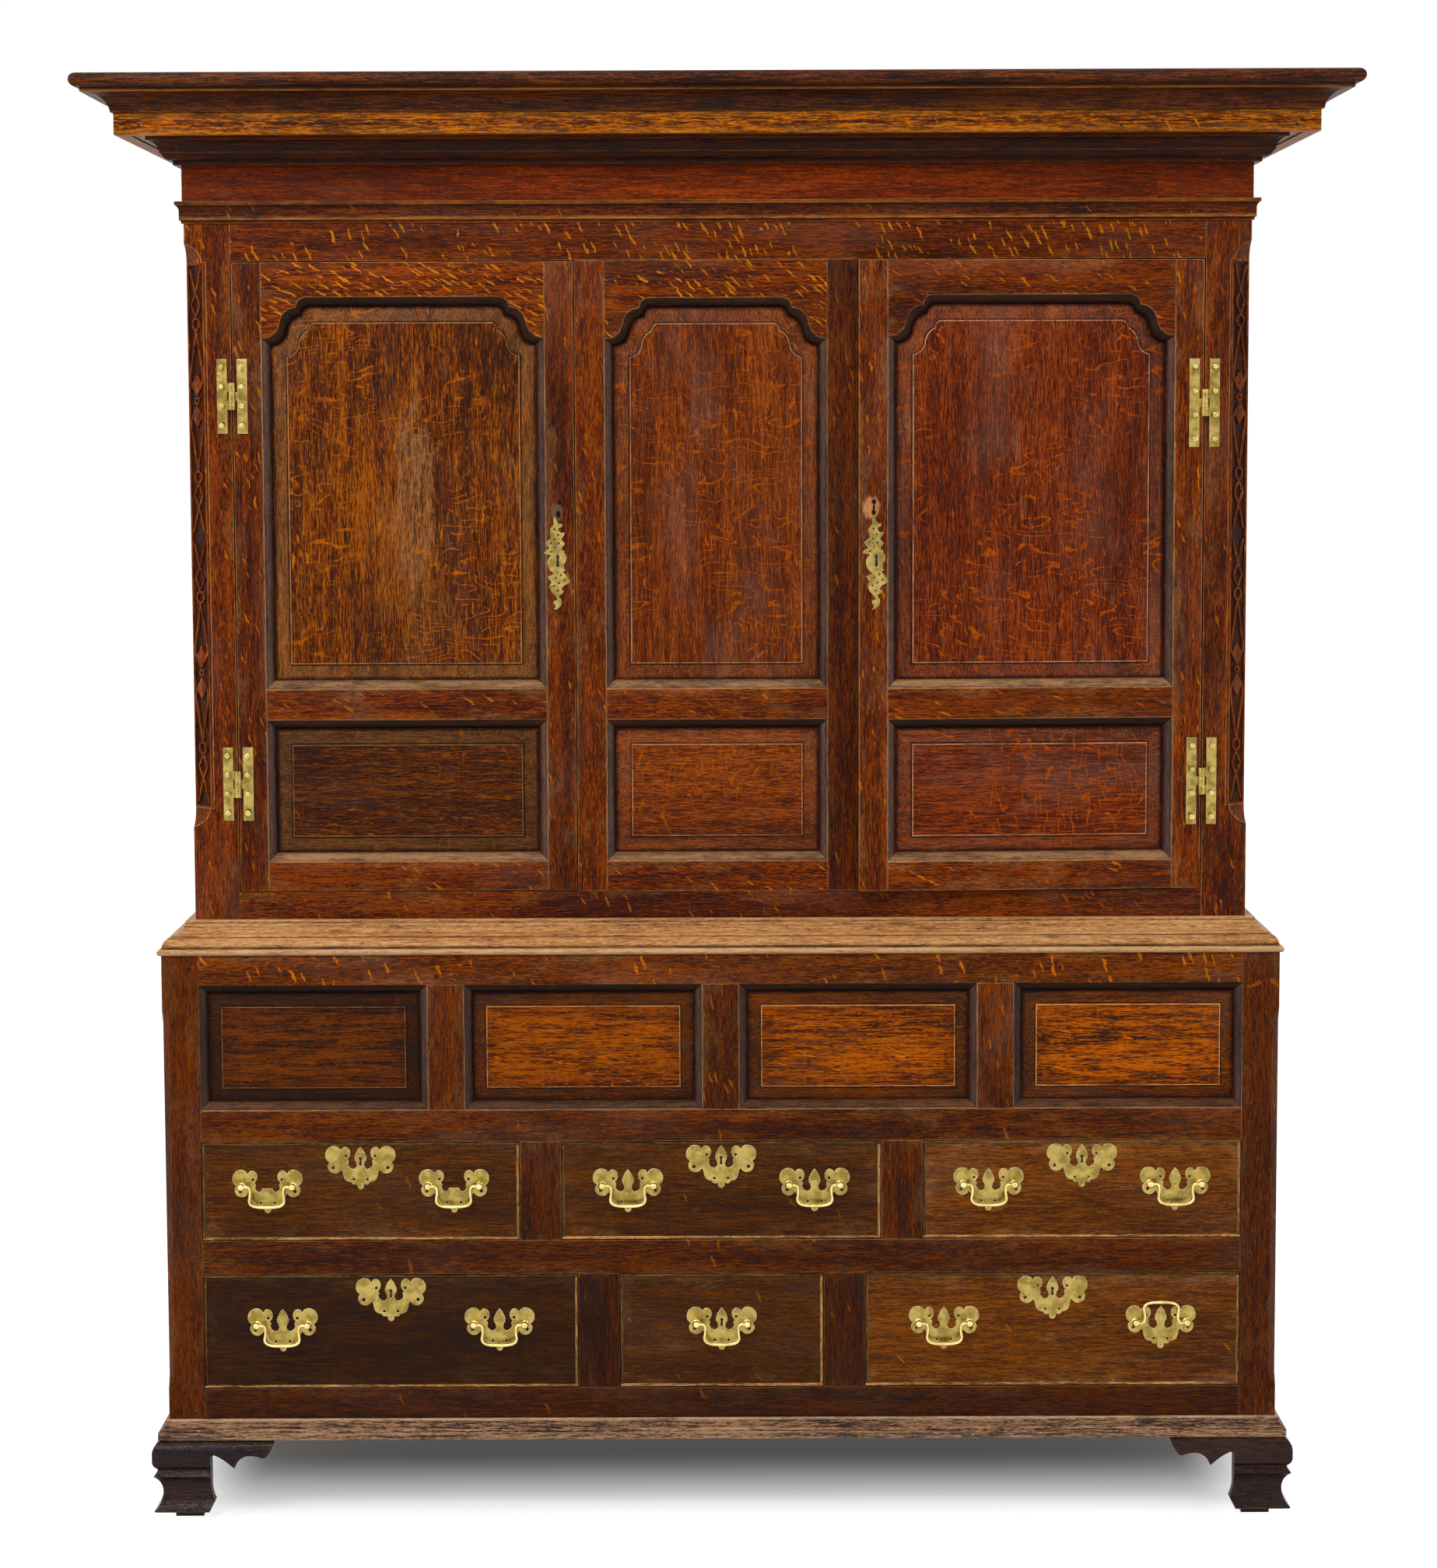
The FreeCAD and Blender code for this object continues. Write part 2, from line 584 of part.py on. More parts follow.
def side_frames():
    """Rails and panels of the case sides: (rails, panels)."""
    rails = []
    panels = []
    upper_bay = (UPPER_FRONT + UPPER_POST, BACK_INNER - REAR_POST)
    lower_bay = (LOWER_FRONT + LOWER_POST_DEPTH, BACK_INNER - REAR_POST)
    upper_mid = (UPPER_TOP + LOWER_TOP) / 2
    lower_mid = LOW_PANEL_FLOOR - PANEL_RAIL / 2
    cases = (
        (UPPER_HALF, upper_bay, (LOWER_TOP, upper_mid - SIDE_RAIL / 2, UPPER_TOP - SIDE_RAIL)),
        (LOWER_HALF, lower_bay, (FOOT_HEIGHT, lower_mid - SIDE_RAIL / 2, LOWER_TOP - SIDE_RAIL)),
    )
    for half, bay, feet in cases:
        for foot in feet:
            rails += both_sides(block((-half, FRAME - half), bay, (foot, foot + SIDE_RAIL)))
        for low, high in ((feet[0] + SIDE_RAIL, feet[1]), (feet[1] + SIDE_RAIL, feet[2])):
            panels += both_sides(side_panel(half, bay, (low, high)))
    return rails, panels


def side_panel(half, y, z):
    """A fielded panel in the left side of a case, with its bevel sunk in the frame."""
    sink = FIELD_DEPTH + 2 * FIELD_STEP
    stations = ((0, PANEL_BACK), (0, PANEL_GROUND), (1, PANEL_GROUND))
    stations += ((SIDE_FIELD_INSET, sink), (SIDE_FIELD_INSET, sink - FIELD_STEP))
    rings = []
    for inset, depth in stations:
        corners = ((y[0] + inset, z[0] + inset), (y[1] - inset, z[0] + inset))
        corners += ((y[1] - inset, z[1] - inset), (y[0] + inset, z[1] - inset))
        rings.append([V(depth - half, a, b) for a, b in corners])
    return skin(rings)


def boards_across(count, x, y, z):
    """A run of equal upright boards that meet edge to edge."""
    width = (x[1] - x[0]) / count
    return [block((x[0] + n * width, x[0] + (n + 1) * width), y, z) for n in range(count)]


def back_boards():
    y = (BACK_INNER, BACK)
    upper = boards_across(BACK_BOARD_COUNT, (-UPPER_HALF, UPPER_HALF), y, (LOWER_TOP, UPPER_TOP))
    lower = boards_across(BACK_BOARD_COUNT, (-LOWER_HALF, LOWER_HALF), y, (FOOT_HEIGHT, LOWER_TOP))
    return upper + lower


SHELF_Y = (UPPER_FRONT + UPPER_POST + SHELF_FRONT_GAP, BACK_INNER - REAR_POST)
FLOOR_TOP = DOORWAY_FLOOR - DOOR_GAP


def cupboard_boards():
    """Floor and ceiling of the cupboard, notched round nothing: they lie between posts."""
    x = (-INNER_SIDE_UPPER, INNER_SIDE_UPPER)
    doorway = (-DOORWAY_EDGE, DOORWAY_EDGE)
    front = UPPER_FRONT + FRAME
    post_back = UPPER_FRONT + UPPER_POST
    rear = BACK_INNER - REAR_POST
    solids = []
    for z in ((FLOOR_TOP - FLOOR_BOARD, FLOOR_TOP), (UPPER_TOP - CEILING_BOARD, UPPER_TOP)):
        solids.append(block(doorway, (front, post_back), z))
        solids.append(block(x, (post_back, rear), z))
        solids.append(block((REAR_POST - UPPER_HALF, UPPER_HALF - REAR_POST), (rear, BACK_INNER - FRAME), z))
    return solids


def shelves():
    x = (-INNER_SIDE_UPPER, INNER_SIDE_UPPER)
    return [block(x, SHELF_Y, (FLOOR_TOP + h, FLOOR_TOP + h + SHELF)) for h in SHELF_HEIGHTS]


def shelf_bearers():
    """Bearers under the shelf ends and strips that stop the doors at head and foot."""
    solids = []
    for h in SHELF_HEIGHTS:
        z = (FLOOR_TOP + h - SHELF_BEARER, FLOOR_TOP + h)
        solids += both_sides(block((-INNER_SIDE_UPPER, SHELF_BEARER - INNER_SIDE_UPPER), SHELF_Y, z))
    y = (UPPER_FRONT + FRAME, UPPER_FRONT + FRAME + STOP_STRIP)
    z = (DOORWAY_TOP - STOP_LAP, DOORWAY_TOP + SHELF_BEARER)
    for x in ((-DOORWAY_EDGE, CENTRE_LEFT), (CENTRE_RIGHT, DOORWAY_EDGE)):
        solids.append(block(x, y, z))
    return solids


# ---- Doors -----------------------------------------------------------------------
def hinge_leaf(side, level, height, moving):
    """One leaf of an H hinge, with its knuckles. The fixed leaf carries the pin."""
    into_door = 1 if moving else -1
    way = -side * into_door
    axis_x = side * HINGE_X
    near = axis_x + way * LEAF_START
    far = near + way * LEAF_WIDTH
    middle = DOORWAY_TOP - level - LEFT_HINGE / 2
    y = (UPPER_FRONT - LEAF, UPPER_FRONT)
    leaf = block(sorted((near, far)), y, (middle - height / 2, middle + height / 2))
    third = KNUCKLE_HEIGHT / 3
    foot = middle - KNUCKLE_HEIGHT / 2
    if moving:
        spans = ((foot + third + KNUCKLE_CLEAR, foot + 2 * third - KNUCKLE_CLEAR),)
    else:
        spans = ((foot, foot + third), (foot + 2 * third, foot + KNUCKLE_HEIGHT))
    for z in spans:
        leaf = leaf.fuse(block(sorted((axis_x, near)), y, z))
        length = z[1] - z[0]
        barrel = Part.makeCylinder(KNUCKLE_RADIUS, length, V(axis_x, HINGE_Y, z[0]))
        leaf = leaf.fuse(barrel)
    if moving:
        bore = PIN_RADIUS + PIN_FIT
        return leaf.cut(Part.makeCylinder(bore, height, V(axis_x, HINGE_Y, middle - height / 2)))
    pin = Part.makeCylinder(PIN_RADIUS, KNUCKLE_HEIGHT, V(axis_x, HINGE_Y, foot))
    return leaf.fuse(pin).removeSplitter()


HINGES = ((-1, LEFT_HINGE, LEFT_HINGE_LEVELS), (1, RIGHT_HINGE, RIGHT_HINGE_LEVELS))


def hinge_leaves(side, moving):
    for hinge_side, height, levels in HINGES:
        if hinge_side == side:
            return [hinge_leaf(side, level, height, moving) for level in levels]


def hung(side, solids):
    """Door pieces as they stand at rest: the left door shut, the right one ajar."""
    if side < 0:
        return solids
    return [s.rotated(V(HINGE_X, HINGE_Y, 0), V(0, 0, 1), AJAR) for s in solids]


def door_span(side):
    if side < 0:
        return (DOOR_GAP - DOORWAY_EDGE, CENTRE_LEFT - DOOR_GAP)
    return (CENTRE_RIGHT + DOOR_GAP, DOORWAY_EDGE - DOOR_GAP)


DOOR_Z = (DOORWAY_FLOOR + DOOR_GAP, DOORWAY_TOP - DOOR_GAP)
DOOR_LOW_Z = (DOOR_Z[0] + DOOR_BOTTOM_RAIL, DOOR_Z[0] + DOOR_BOTTOM_RAIL + LOW_OPENING)
DOOR_HIGH_Z = (DOOR_LOW_Z[1] + MID_RAIL, DOOR_Z[1] - DOOR_TOP_RAIL)


def door_frame(side):
    span = door_span(side)
    x = (span[0] + DOOR_STILE, span[1] - DOOR_STILE)
    y = (UPPER_FRONT, UPPER_FRONT + DOOR_THICKNESS)
    head = (DOOR_HIGH_Z[1], DOOR_Z[1])
    return [
        block((span[0], x[0]), y, DOOR_Z),
        block((x[1], span[1]), y, DOOR_Z),
        block(x, y, (DOOR_Z[0], DOOR_LOW_Z[0])),
        block(x, y, (DOOR_LOW_Z[1], DOOR_HIGH_Z[0])),
        shaped_rail(x, head, DOOR_HIGH_Z, DOOR_THICKNESS, UPPER_FRONT, HIGH_FIELD_INSET),
    ]


def door_panels(side):
    span = door_span(side)
    x = (span[0] + DOOR_STILE, span[1] - DOOR_STILE)
    solids = []
    for z, shaped in ((DOOR_LOW_Z, False), (DOOR_HIGH_Z, True)):
        solids.append(panel(x, z, UPPER_FRONT, HIGH_FIELD_INSET, shaped))
        solids.append(panel_moulding(x, z, UPPER_FRONT, HIGH_FIELD_INSET, shaped))
    return solids


def key_x(side):
    span = door_span(side)
    return span[1] - DOOR_KEY_INSET if side < 0 else span[0] + DOOR_KEY_INSET


def door_escutcheon(side):
    """A lean plate with a hook at each end and two groups of pierced lozenges."""
    x = key_x(side)
    z = DOORWAY_FLOOR + DOOR_KEY_LEVEL
    y = UPPER_FRONT - PLATE
    right = [(10.5, -13, -0.3), (-4.5, -2), (8, -9), (-3, -4), (4.5, -9), (-5, -6), (5, -9)]
    right += [(-3.5, -18, 0.45), (3.5, -7.5), (-3, -2), (8.5, -12), (-6, -3), (-5, -6), (3, -5)]
    right += [(-7, -5), (2.5, -6), (-6, -13, 0.45)]
    left = [(-4, 10, 0.45), (2.5, 7, -0.3), (-8.5, 12.5, 0.2), (3, 4), (-5.5, 14), (4, 4.5)]
    left += [(-3, 22, 0.45), (-6, 6.5), (4, 6), (-3, 6), (11.5, 13), (-4.5, 6, 0.3), (4.5, 9, 0.4)]
    plate = prism(traced((-4, 62), right + left, lambda a, b: V(x + a, y, z + b)), V(0, PLATE, 0))
    for across, up in ((-3.5, 25.5), (3.3, -25.5)):
        for turn in range(4):
            a = x + across + PIERCING_SPREAD * math.cos(turn * math.pi / 2)
            b = z + up + PIERCING_SPREAD * math.sin(turn * math.pi / 2)
            corners = ((PIERCING, 0), (0, PIERCING), (-PIERCING, 0), (0, -PIERCING))
            hole = facet([V(a + da, y - 1, b + db) for da, db in corners])
            plate = plate.cut(hole.extrude(V(0, PLATE + 2, 0)))
    return plate.cut(keyhole(x, z, y))


def keyhole(x, z, y):
    """A round hole over a slot, as a tool that passes through a brass plate."""
    rim = even_sided(KEYHOLE_EYE, lambda a, b: V(x + a, y - PLATE, z + 3 + b))
    slot_x = (x - KEYHOLE_SLOT[0], x + KEYHOLE_SLOT[0])
    slot = block(slot_x, (y - PLATE, y + 2 * PLATE), (z + 3 - KEYHOLE_SLOT[1], z + 3))
    return facet(rim).extrude(V(0, 3 * PLATE, 0)).fuse(slot)


def door_lock(side):
    """A lock case on the back of the closing stile, with its bolt drawn back."""
    width, thickness, height = DOOR_LOCK
    x = key_x(side)
    y = UPPER_FRONT + DOOR_THICKNESS
    z = DOORWAY_FLOOR + DOOR_KEY_LEVEL
    return [block((x - width / 2, x + width / 2), (y, y + thickness), (z - height / 2, z + height / 2))]


# ---- Lower case ------------------------------------------------------------------
def waist_moulding():
    inner = -UPPER_SETBACK
    moves = [(1, 0), (0, 9, -1), (-2, 0), (-10, 14.5, -0.41), (-3.5, 0), (0, 3.5), (-3, 0)]
    moves += [(-11.5, 14.5, 0.41), (-2, 0), (0, WAIST_RISE + WAIST_LAP - 41.5), (inner + 31, 0)]
    moves += [(0, -WAIST_RISE), (-inner, 0)]
    return moulding((0, LOWER_TOP - WAIST_LAP), moves, LOWER_HALF, LOWER_FRONT)


def lower_posts():
    """Front posts with a small stopped chamfer, and plain rear posts."""
    z = (FOOT_HEIGHT, LOWER_TOP)
    y = (LOWER_FRONT, LOWER_FRONT + LOWER_POST_DEPTH)
    post = block((-LOWER_HALF, -LOW_OPENING_EDGE), y, z)
    corner = V(-LOWER_HALF, LOWER_FRONT, 0)
    outward = V(-1, -1, 0).normalize()
    along = V(1, -1, 0).normalize()
    depth = LOW_CHAMFER / math.sqrt(2)
    low = LOW_DRAWER_FLOOR
    high = LOW_PANEL_TOP - LOW_CHAMFER_MARGIN
    moves = [(0, high - low), (-3, 0), (-depth, -LOW_CHAMFER_STOP)]
    moves += [(0, low - high + 2 * LOW_CHAMFER_STOP), (depth, -LOW_CHAMFER_STOP)]

    def place(s, h):
        return corner + outward * s + along * (-2 * LOW_CHAMFER) + V(0, 0, h)

    post = post.cut(prism(traced((3, low), moves, place), along * (4 * LOW_CHAMFER)))
    rear = block((-LOWER_HALF, REAR_POST - LOWER_HALF), (BACK_INNER - REAR_POST, BACK_INNER), z)
    return both_sides(post) + both_sides(rear)


FRONT_RAILS = (
    (FOOT_HEIGHT, LOW_DRAWER_FLOOR),
    (LOW_DRAWER_TOP, HIGH_DRAWER_FLOOR),
    (HIGH_DRAWER_TOP, LOW_PANEL_FLOOR),
    (LOW_PANEL_TOP, LOWER_TOP),
)


def lower_rails():
    y = (LOWER_FRONT, LOWER_FRONT + FRAME)
    x = (-LOW_OPENING_EDGE, LOW_OPENING_EDGE)
    rear_x = (REAR_POST - LOWER_HALF, LOWER_HALF - REAR_POST)
    rear_y = (BACK_INNER - FRAME, BACK_INNER)
    rails = [block(x, y, z) for z in FRONT_RAILS]
    return rails + [block(rear_x, rear_y, z) for z in (FRONT_RAILS[0], FRONT_RAILS[3])]


def row(middle, divider):
    """Three openings across the lower case, as (low x, high x)."""
    half = middle / 2
    edge = LOW_OPENING_EDGE
    return ((-edge, -half - divider), (-half, half), (half + divider, edge))


HIGH_ROW = row(HIGH_MIDDLE_DRAWER, DRAWER_DIVIDER)
LOW_ROW = row(LOW_MIDDLE_DRAWER, DRAWER_DIVIDER)


def panel_row():
    """The four openings over the drawers, the inner pair equal."""
    near = PANEL_MUNTIN / 2
    far = near + INNER_LOW_PANEL
    outer = (far + PANEL_MUNTIN, LOW_OPENING_EDGE)
    return ((-outer[1], -outer[0]), (-far, -near), (near, far), outer)


def gaps_between(openings):
    return [(a[1], b[0]) for a, b in zip(openings, openings[1:])]


def lower_muntins():
    """Muntins between the panels and dividers between the drawers."""
    y = (LOWER_FRONT, LOWER_FRONT + FRAME)
    solids = [block(x, y, (LOW_PANEL_FLOOR, LOW_PANEL_TOP)) for x in gaps_between(panel_row())]
    solids += [block(x, y, (HIGH_DRAWER_FLOOR, HIGH_DRAWER_TOP)) for x in gaps_between(HIGH_ROW)]
    solids += [block(x, y, (LOW_DRAWER_FLOOR, LOW_DRAWER_TOP)) for x in gaps_between(LOW_ROW)]
    return solids


def lower_panels():
    z = (LOW_PANEL_FLOOR, LOW_PANEL_TOP)
    solids = []
    for x in panel_row():
        solids.append(panel(x, z, LOWER_FRONT, LOW_FIELD_INSET))
        solids.append(panel_moulding(x, z, LOWER_FRONT, LOW_FIELD_INSET))
    return solids


def drawer_runners():
    """Dust boards that carry the drawers, the floor of the well, and guide strips."""
    front = LOWER_FRONT + FRAME
    post_back = LOWER_FRONT + LOWER_POST_DEPTH
    rear = BACK_INNER - REAR_POST
    solids = []
    well_floor = LOW_PANEL_FLOOR - PANEL_RAIL + DRAWER_GAP + DUST_BOARD
    for top in (LOW_DRAWER_FLOOR, HIGH_DRAWER_FLOOR, well_floor):
        z = (top - DUST_BOARD, top)
        solids.append(block((-LOW_OPENING_EDGE, LOW_OPENING_EDGE), (front, post_back), z))
        solids.append(block((-INNER_SIDE_LOWER, INNER_SIDE_LOWER), (post_back, rear), z))
    for floor, openings in ((LOW_DRAWER_FLOOR, LOW_ROW), (HIGH_DRAWER_FLOOR, HIGH_ROW)):
        z = (floor, floor + GUIDE_HEIGHT)
        solids += [block(x, (front, rear), z) for x in gaps_between(openings)]
        side_guide = block((-INNER_SIDE_LOWER, -LOW_OPENING_EDGE), (post_back, rear), z)
        solids += both_sides(side_guide)
    return solids


def base_moulding():
    moves = [(14.5, 0), (0, 11), (-1.5, 0), (0, 1.5), (-2, 2.5, -0.41), (-7, 11, 0.36)]
    moves += [(0, BASE_MOULDING - 26), (-4, 0)]
    return moulding((0, FOOT_HEIGHT), moves, LOWER_HALF, LOWER_FRONT)


def foot_bracket():
    """The front bracket of the left foot: its section follows the bulge, the quirk,
    the hollow and the toe, and its outline has the scrolled ear."""
    section = [(FOOT_BACK + 11.5, 0), (11.1, -18, 0.28), (0, -10), (-7.1, -12.5, 0.26), (0, -3)]
    section += [(5.5, -7), (-12, -23.5, -0.24), (11.5, -26.5, -0.21), (-1.5, -2)]
    section += [(-FOOT_BACK - 19, FOOT_LIFT - 12.5)]
    reach = LOWER_HALF + 40
    bar = prism(
        traced((-FOOT_BACK, FOOT_HEIGHT), section, lambda p, z: V(-reach, LOWER_FRONT - p, z)),
        V(FOOT_LENGTH + 40, 0, 0),
    )
    ear = [(FOOT_LENGTH + 40, 0), (-10.4, -20.9, 0.12), (-8.6, -2.1, 0.35), (-21.4, 2.1, -0.15)]
    ear += [(-16.4, -19.1, -0.27), (-26.7, 20.6, -0.13), (-7, -3.6, -0.4), (0, -46), (5, -19, -0.1)]
    ear += [(-8.5, -16.4), (-9, -2.6), (-3.4, -8), (-43.6, 0), (-40, 0)]
    silhouette = traced((-reach, FOOT_HEIGHT), ear, lambda x, z: V(x, LOWER_FRONT - 40, z))
    outline = prism(silhouette, V(0, 80, 0))
    corner = (-LOWER_HALF - 40, LOWER_FRONT - 40)
    inner = (FOOT_BACK - LOWER_HALF, LOWER_FRONT + FOOT_BACK)
    plan = (corner, (FOOT_LENGTH - LOWER_HALF, corner[1]), (FOOT_LENGTH - LOWER_HALF, inner[1]), inner)
    return bar.common(outline).common(plan_prism(plan, (0, FOOT_HEIGHT)))


def bracket_feet():
    """Four feet: mitred front pairs, side brackets behind, and a block in each."""
    front = foot_bracket()
    side = front.mirror(V(-LOWER_HALF, LOWER_FRONT, 0), V(1, -1, 0))
    middle_y = (LOWER_FRONT + BACK) / 2
    rear = side.mirror(V(0, middle_y, 0), V(0, 1, 0))
    rear = rear.common(block((-2 * LOWER_HALF, 0), (middle_y, BACK), (0, FOOT_HEIGHT)))
    near = (FOOT_BACK - LOWER_HALF, FOOT_BACK - LOWER_HALF + FOOT_BLOCK)
    front_y = (LOWER_FRONT + FOOT_BACK, LOWER_FRONT + FOOT_BACK + FOOT_BLOCK)
    rear_y = (BACK - REAR_FOOT_BOARD - FOOT_BLOCK, BACK - REAR_FOOT_BOARD)
    board_x = (FOOT_BACK - LOWER_HALF, FOOT_LENGTH - LOWER_HALF)
    board = block(board_x, (BACK - REAR_FOOT_BOARD, BACK), (FOOT_LIFT, FOOT_HEIGHT))
    solids = []
    for solid in (front, side, rear, board):
        solids += both_sides(solid)
    for y in (front_y, rear_y):
        solids += both_sides(block(near, y, (0, FOOT_HEIGHT)))
    return solids


def joint_pegs():
    """Eight-sided oak pegs that stand a little proud where the front rails meet the posts."""
    solids = []
    for x, y, z in PEG_PLACES:
        end = even_sided(PEG_RADIUS, lambda a, b: V(x + a, y - PEG_PROUD, z + b))
        solids.append(facet(end).extrude(V(0, PEG_LENGTH, 0)))
    return solids


def peg_places():
    places = []
    for z0, z1 in FRONT_RAILS:
        for side in (-1, 1):
            x = side * (LOW_OPENING_EDGE + LOWER_POST / 4)
            places.append((x, LOWER_FRONT, (z0 + z1) / 2))
    for x0, x1 in gaps_between(panel_row()):
        for side in (-1, 1):
            x = (x0 + x1) / 2 + side * PANEL_MUNTIN / 4
            places.append((x, LOWER_FRONT, LOW_PANEL_TOP + LOWER_TOP_RAIL / 4))
    for x in (CENTRE_LEFT + CENTRE_STILE / 2, CENTRE_RIGHT - CENTRE_STILE / 2):
        places.append((x, UPPER_FRONT, DOORWAY_FLOOR - PEG_RADIUS * 2))
    return places


PEG_PLACES = peg_places()


def drilled(solids):
    """The same solids with a blind hole wherever a peg enters one."""
    holes = []
    for x, y, z in PEG_PLACES:
        mouth = even_sided(PEG_RADIUS + PEG_FIT, lambda a, b: V(x + a, y - 1, z + b))
        holes.append(facet(mouth).extrude(V(0, PEG_LENGTH + 1, 0)))
    result = []
    for solid in solids:
        inside = [hole for hole in holes if solid.BoundBox.intersect(hole.BoundBox)]
        for hole in inside:
            solid = solid.cut(hole)
        result.append(solid)
    return result


# ---- Drawers ---------------------------------------------------------------------
def drawer(x, z):
    """Front with cock beads, two sides, a back and a bottom."""
    face = (x[0] + DRAWER_GAP, x[1] - DRAWER_GAP)
    tall = (z[0] + DRAWER_GAP, z[1] - DRAWER_GAP)
    front_y = (DRAWER_FACE, DRAWER_FACE + DRAWER_FRONT)
    board_x = (face[0] + BEAD_WIDTH, face[1] - BEAD_WIDTH)
    board_z = (tall[0] + BEAD_WIDTH, tall[1] - BEAD_WIDTH)
    front = block(board_x, front_y, board_z)
    middle = (x[0] + x[1]) / 2
    lock_y = (front_y[1] - LOCK_THICKNESS, front_y[1])
    lock_z = (board_z[1] - LOCK_HEIGHT, board_z[1])
    front = front.cut(block((middle - LOCK_WIDTH / 2, middle + LOCK_WIDTH / 2), lock_y, lock_z))
    nose = DRAWER_FACE - BEAD_PROUD
    solids = [front]
    for corners in bead_spans(face, tall):
        solids.append(cock_bead(*corners, nose, front_y[1]))
    outer = (x[0] + DRAWER_SIDE_GAP, x[1] - DRAWER_SIDE_GAP)
    foot = z[0] + DRAWER_RUN_GAP
    side_z = (foot, z[1] - DRAWER_SIDE_DROP)
    y = (front_y[1], front_y[1] + DRAWER_LENGTH)
    solids.append(block((outer[0], outer[0] + DRAWER_SIDE), y, side_z))
    solids.append(block((outer[1] - DRAWER_SIDE, outer[1]), y, side_z))
    inner = (outer[0] + DRAWER_SIDE, outer[1] - DRAWER_SIDE)
    floor = (foot + DRAWER_BOTTOM_LIFT, foot + DRAWER_BOTTOM_LIFT + DRAWER_BOTTOM)
    solids.append(block(inner, y, floor))
    solids.append(block(inner, (y[1] - DRAWER_SIDE, y[1]), (floor[1], side_z[1])))
    return solids


def bead_spans(face, tall):
    """Centre lines of the four beads: (way along, low, high, place of the middle)."""
    inset = BEAD_WIDTH / 2
    spans = [("x", face[0], face[1], level) for level in (tall[0] + inset, tall[1] - inset)]
    inner = (tall[0] + BEAD_WIDTH, tall[1] - BEAD_WIDTH)
    return spans + [("z", inner[0], inner[1], x) for x in (face[0] + inset, face[1] - inset)]


def cock_bead(way, low, high, middle, nose, back):
    """A strip with a half-round nose along X or Z."""
    half = BEAD_WIDTH / 2
    moves = [(0, nose + half - back)] + chords((2 * half, 0, -1)) + [(0, back - nose - half)]
    if way == "x":
        wire = traced((middle - half, back), moves, lambda a, b: V(low, b, a))
        return prism(wire, V(high - low, 0, 0))
    wire = traced((middle - half, back), moves, lambda a, b: V(a, b, low))
    return prism(wire, V(0, 0, high - low))


def drawer_lock(x, z):
    middle = (x[0] + x[1]) / 2
    back = DRAWER_FACE + DRAWER_FRONT
    top = z[1] - DRAWER_GAP - BEAD_WIDTH
    width = (middle - LOCK_WIDTH / 2, middle + LOCK_WIDTH / 2)
    return block(width, (back - LOCK_THICKNESS, back), (top - LOCK_HEIGHT, top))


def symmetrical(moves):
    """The moves up the right side of an outline, then their images down the left."""
    return moves + tuple((across, -up) for across, up in reversed(moves))


def back_plate(x, z, spired, keyed):
    """A winged plate: a round lobe over each post, an inner scroll, a side curl with a
    hole and a scalloped body, with a crowned spire between open notches."""
    y = DRAWER_FACE - PLATE
    way = V(0, PLATE, 0)

    def disc(a, b, radius, sides):
        return facet(even_sided(radius, lambda c, d: V(x + a + c, y, z + b + d), sides)).extrude(way)

    side = BODY_EDGE + CURL_EDGE + LOBE_EDGE + (SPIRE_EDGE if spired else TAB_EDGE)
    plate = prism(traced((0, PLATE_FOOT), symmetrical(side), lambda a, b: V(x + a, y, z + b)), way)
    for hand in (-1, 1):
        plate = plate.cut(disc(hand * CURL_HOLE[0], CURL_HOLE[1], CURL_HOLE[2], 6))
    if keyed:
        plate = plate.cut(disc(0, KEYHOLE_LEVEL, KEYHOLE_EYE, 8))
        slot_z = (z + KEYHOLE_LEVEL - KEYHOLE_SLOT[1], z + KEYHOLE_LEVEL)
        plate = plate.cut(block((x - KEYHOLE_SLOT[0], x + KEYHOLE_SLOT[0]), (y, y + PLATE), slot_z))
    return plate


def handle_post(x, z, inward):
    """A turned post with a bulb at its end, drilled from the inner side for the bail."""
    face = DRAWER_FACE - PLATE
    stations = ((POST_FOOT, 0), (3.2, 2.5), (3.2, 6), (POST_BULB, 9.5), (POST_BULB, 14.5), (3, 17.5))
    rings = []
    for radius, out in stations:
        rings.append(even_sided(radius, lambda a, b, out=out: V(x + a, face - out, z + b), 6))
    inner_end = x + inward * (POST_BULB - BAIL_END_LAP - BAIL_FIT)
    bore = even_sided(BAIL_RADIUS + BAIL_FIT, lambda a, b: V(inner_end, BAIL_Y + a, z + b), 6)
    return skin(rings).cut(facet(bore).extrude(V(inward * 2 * POST_BULB, 0, 0)))


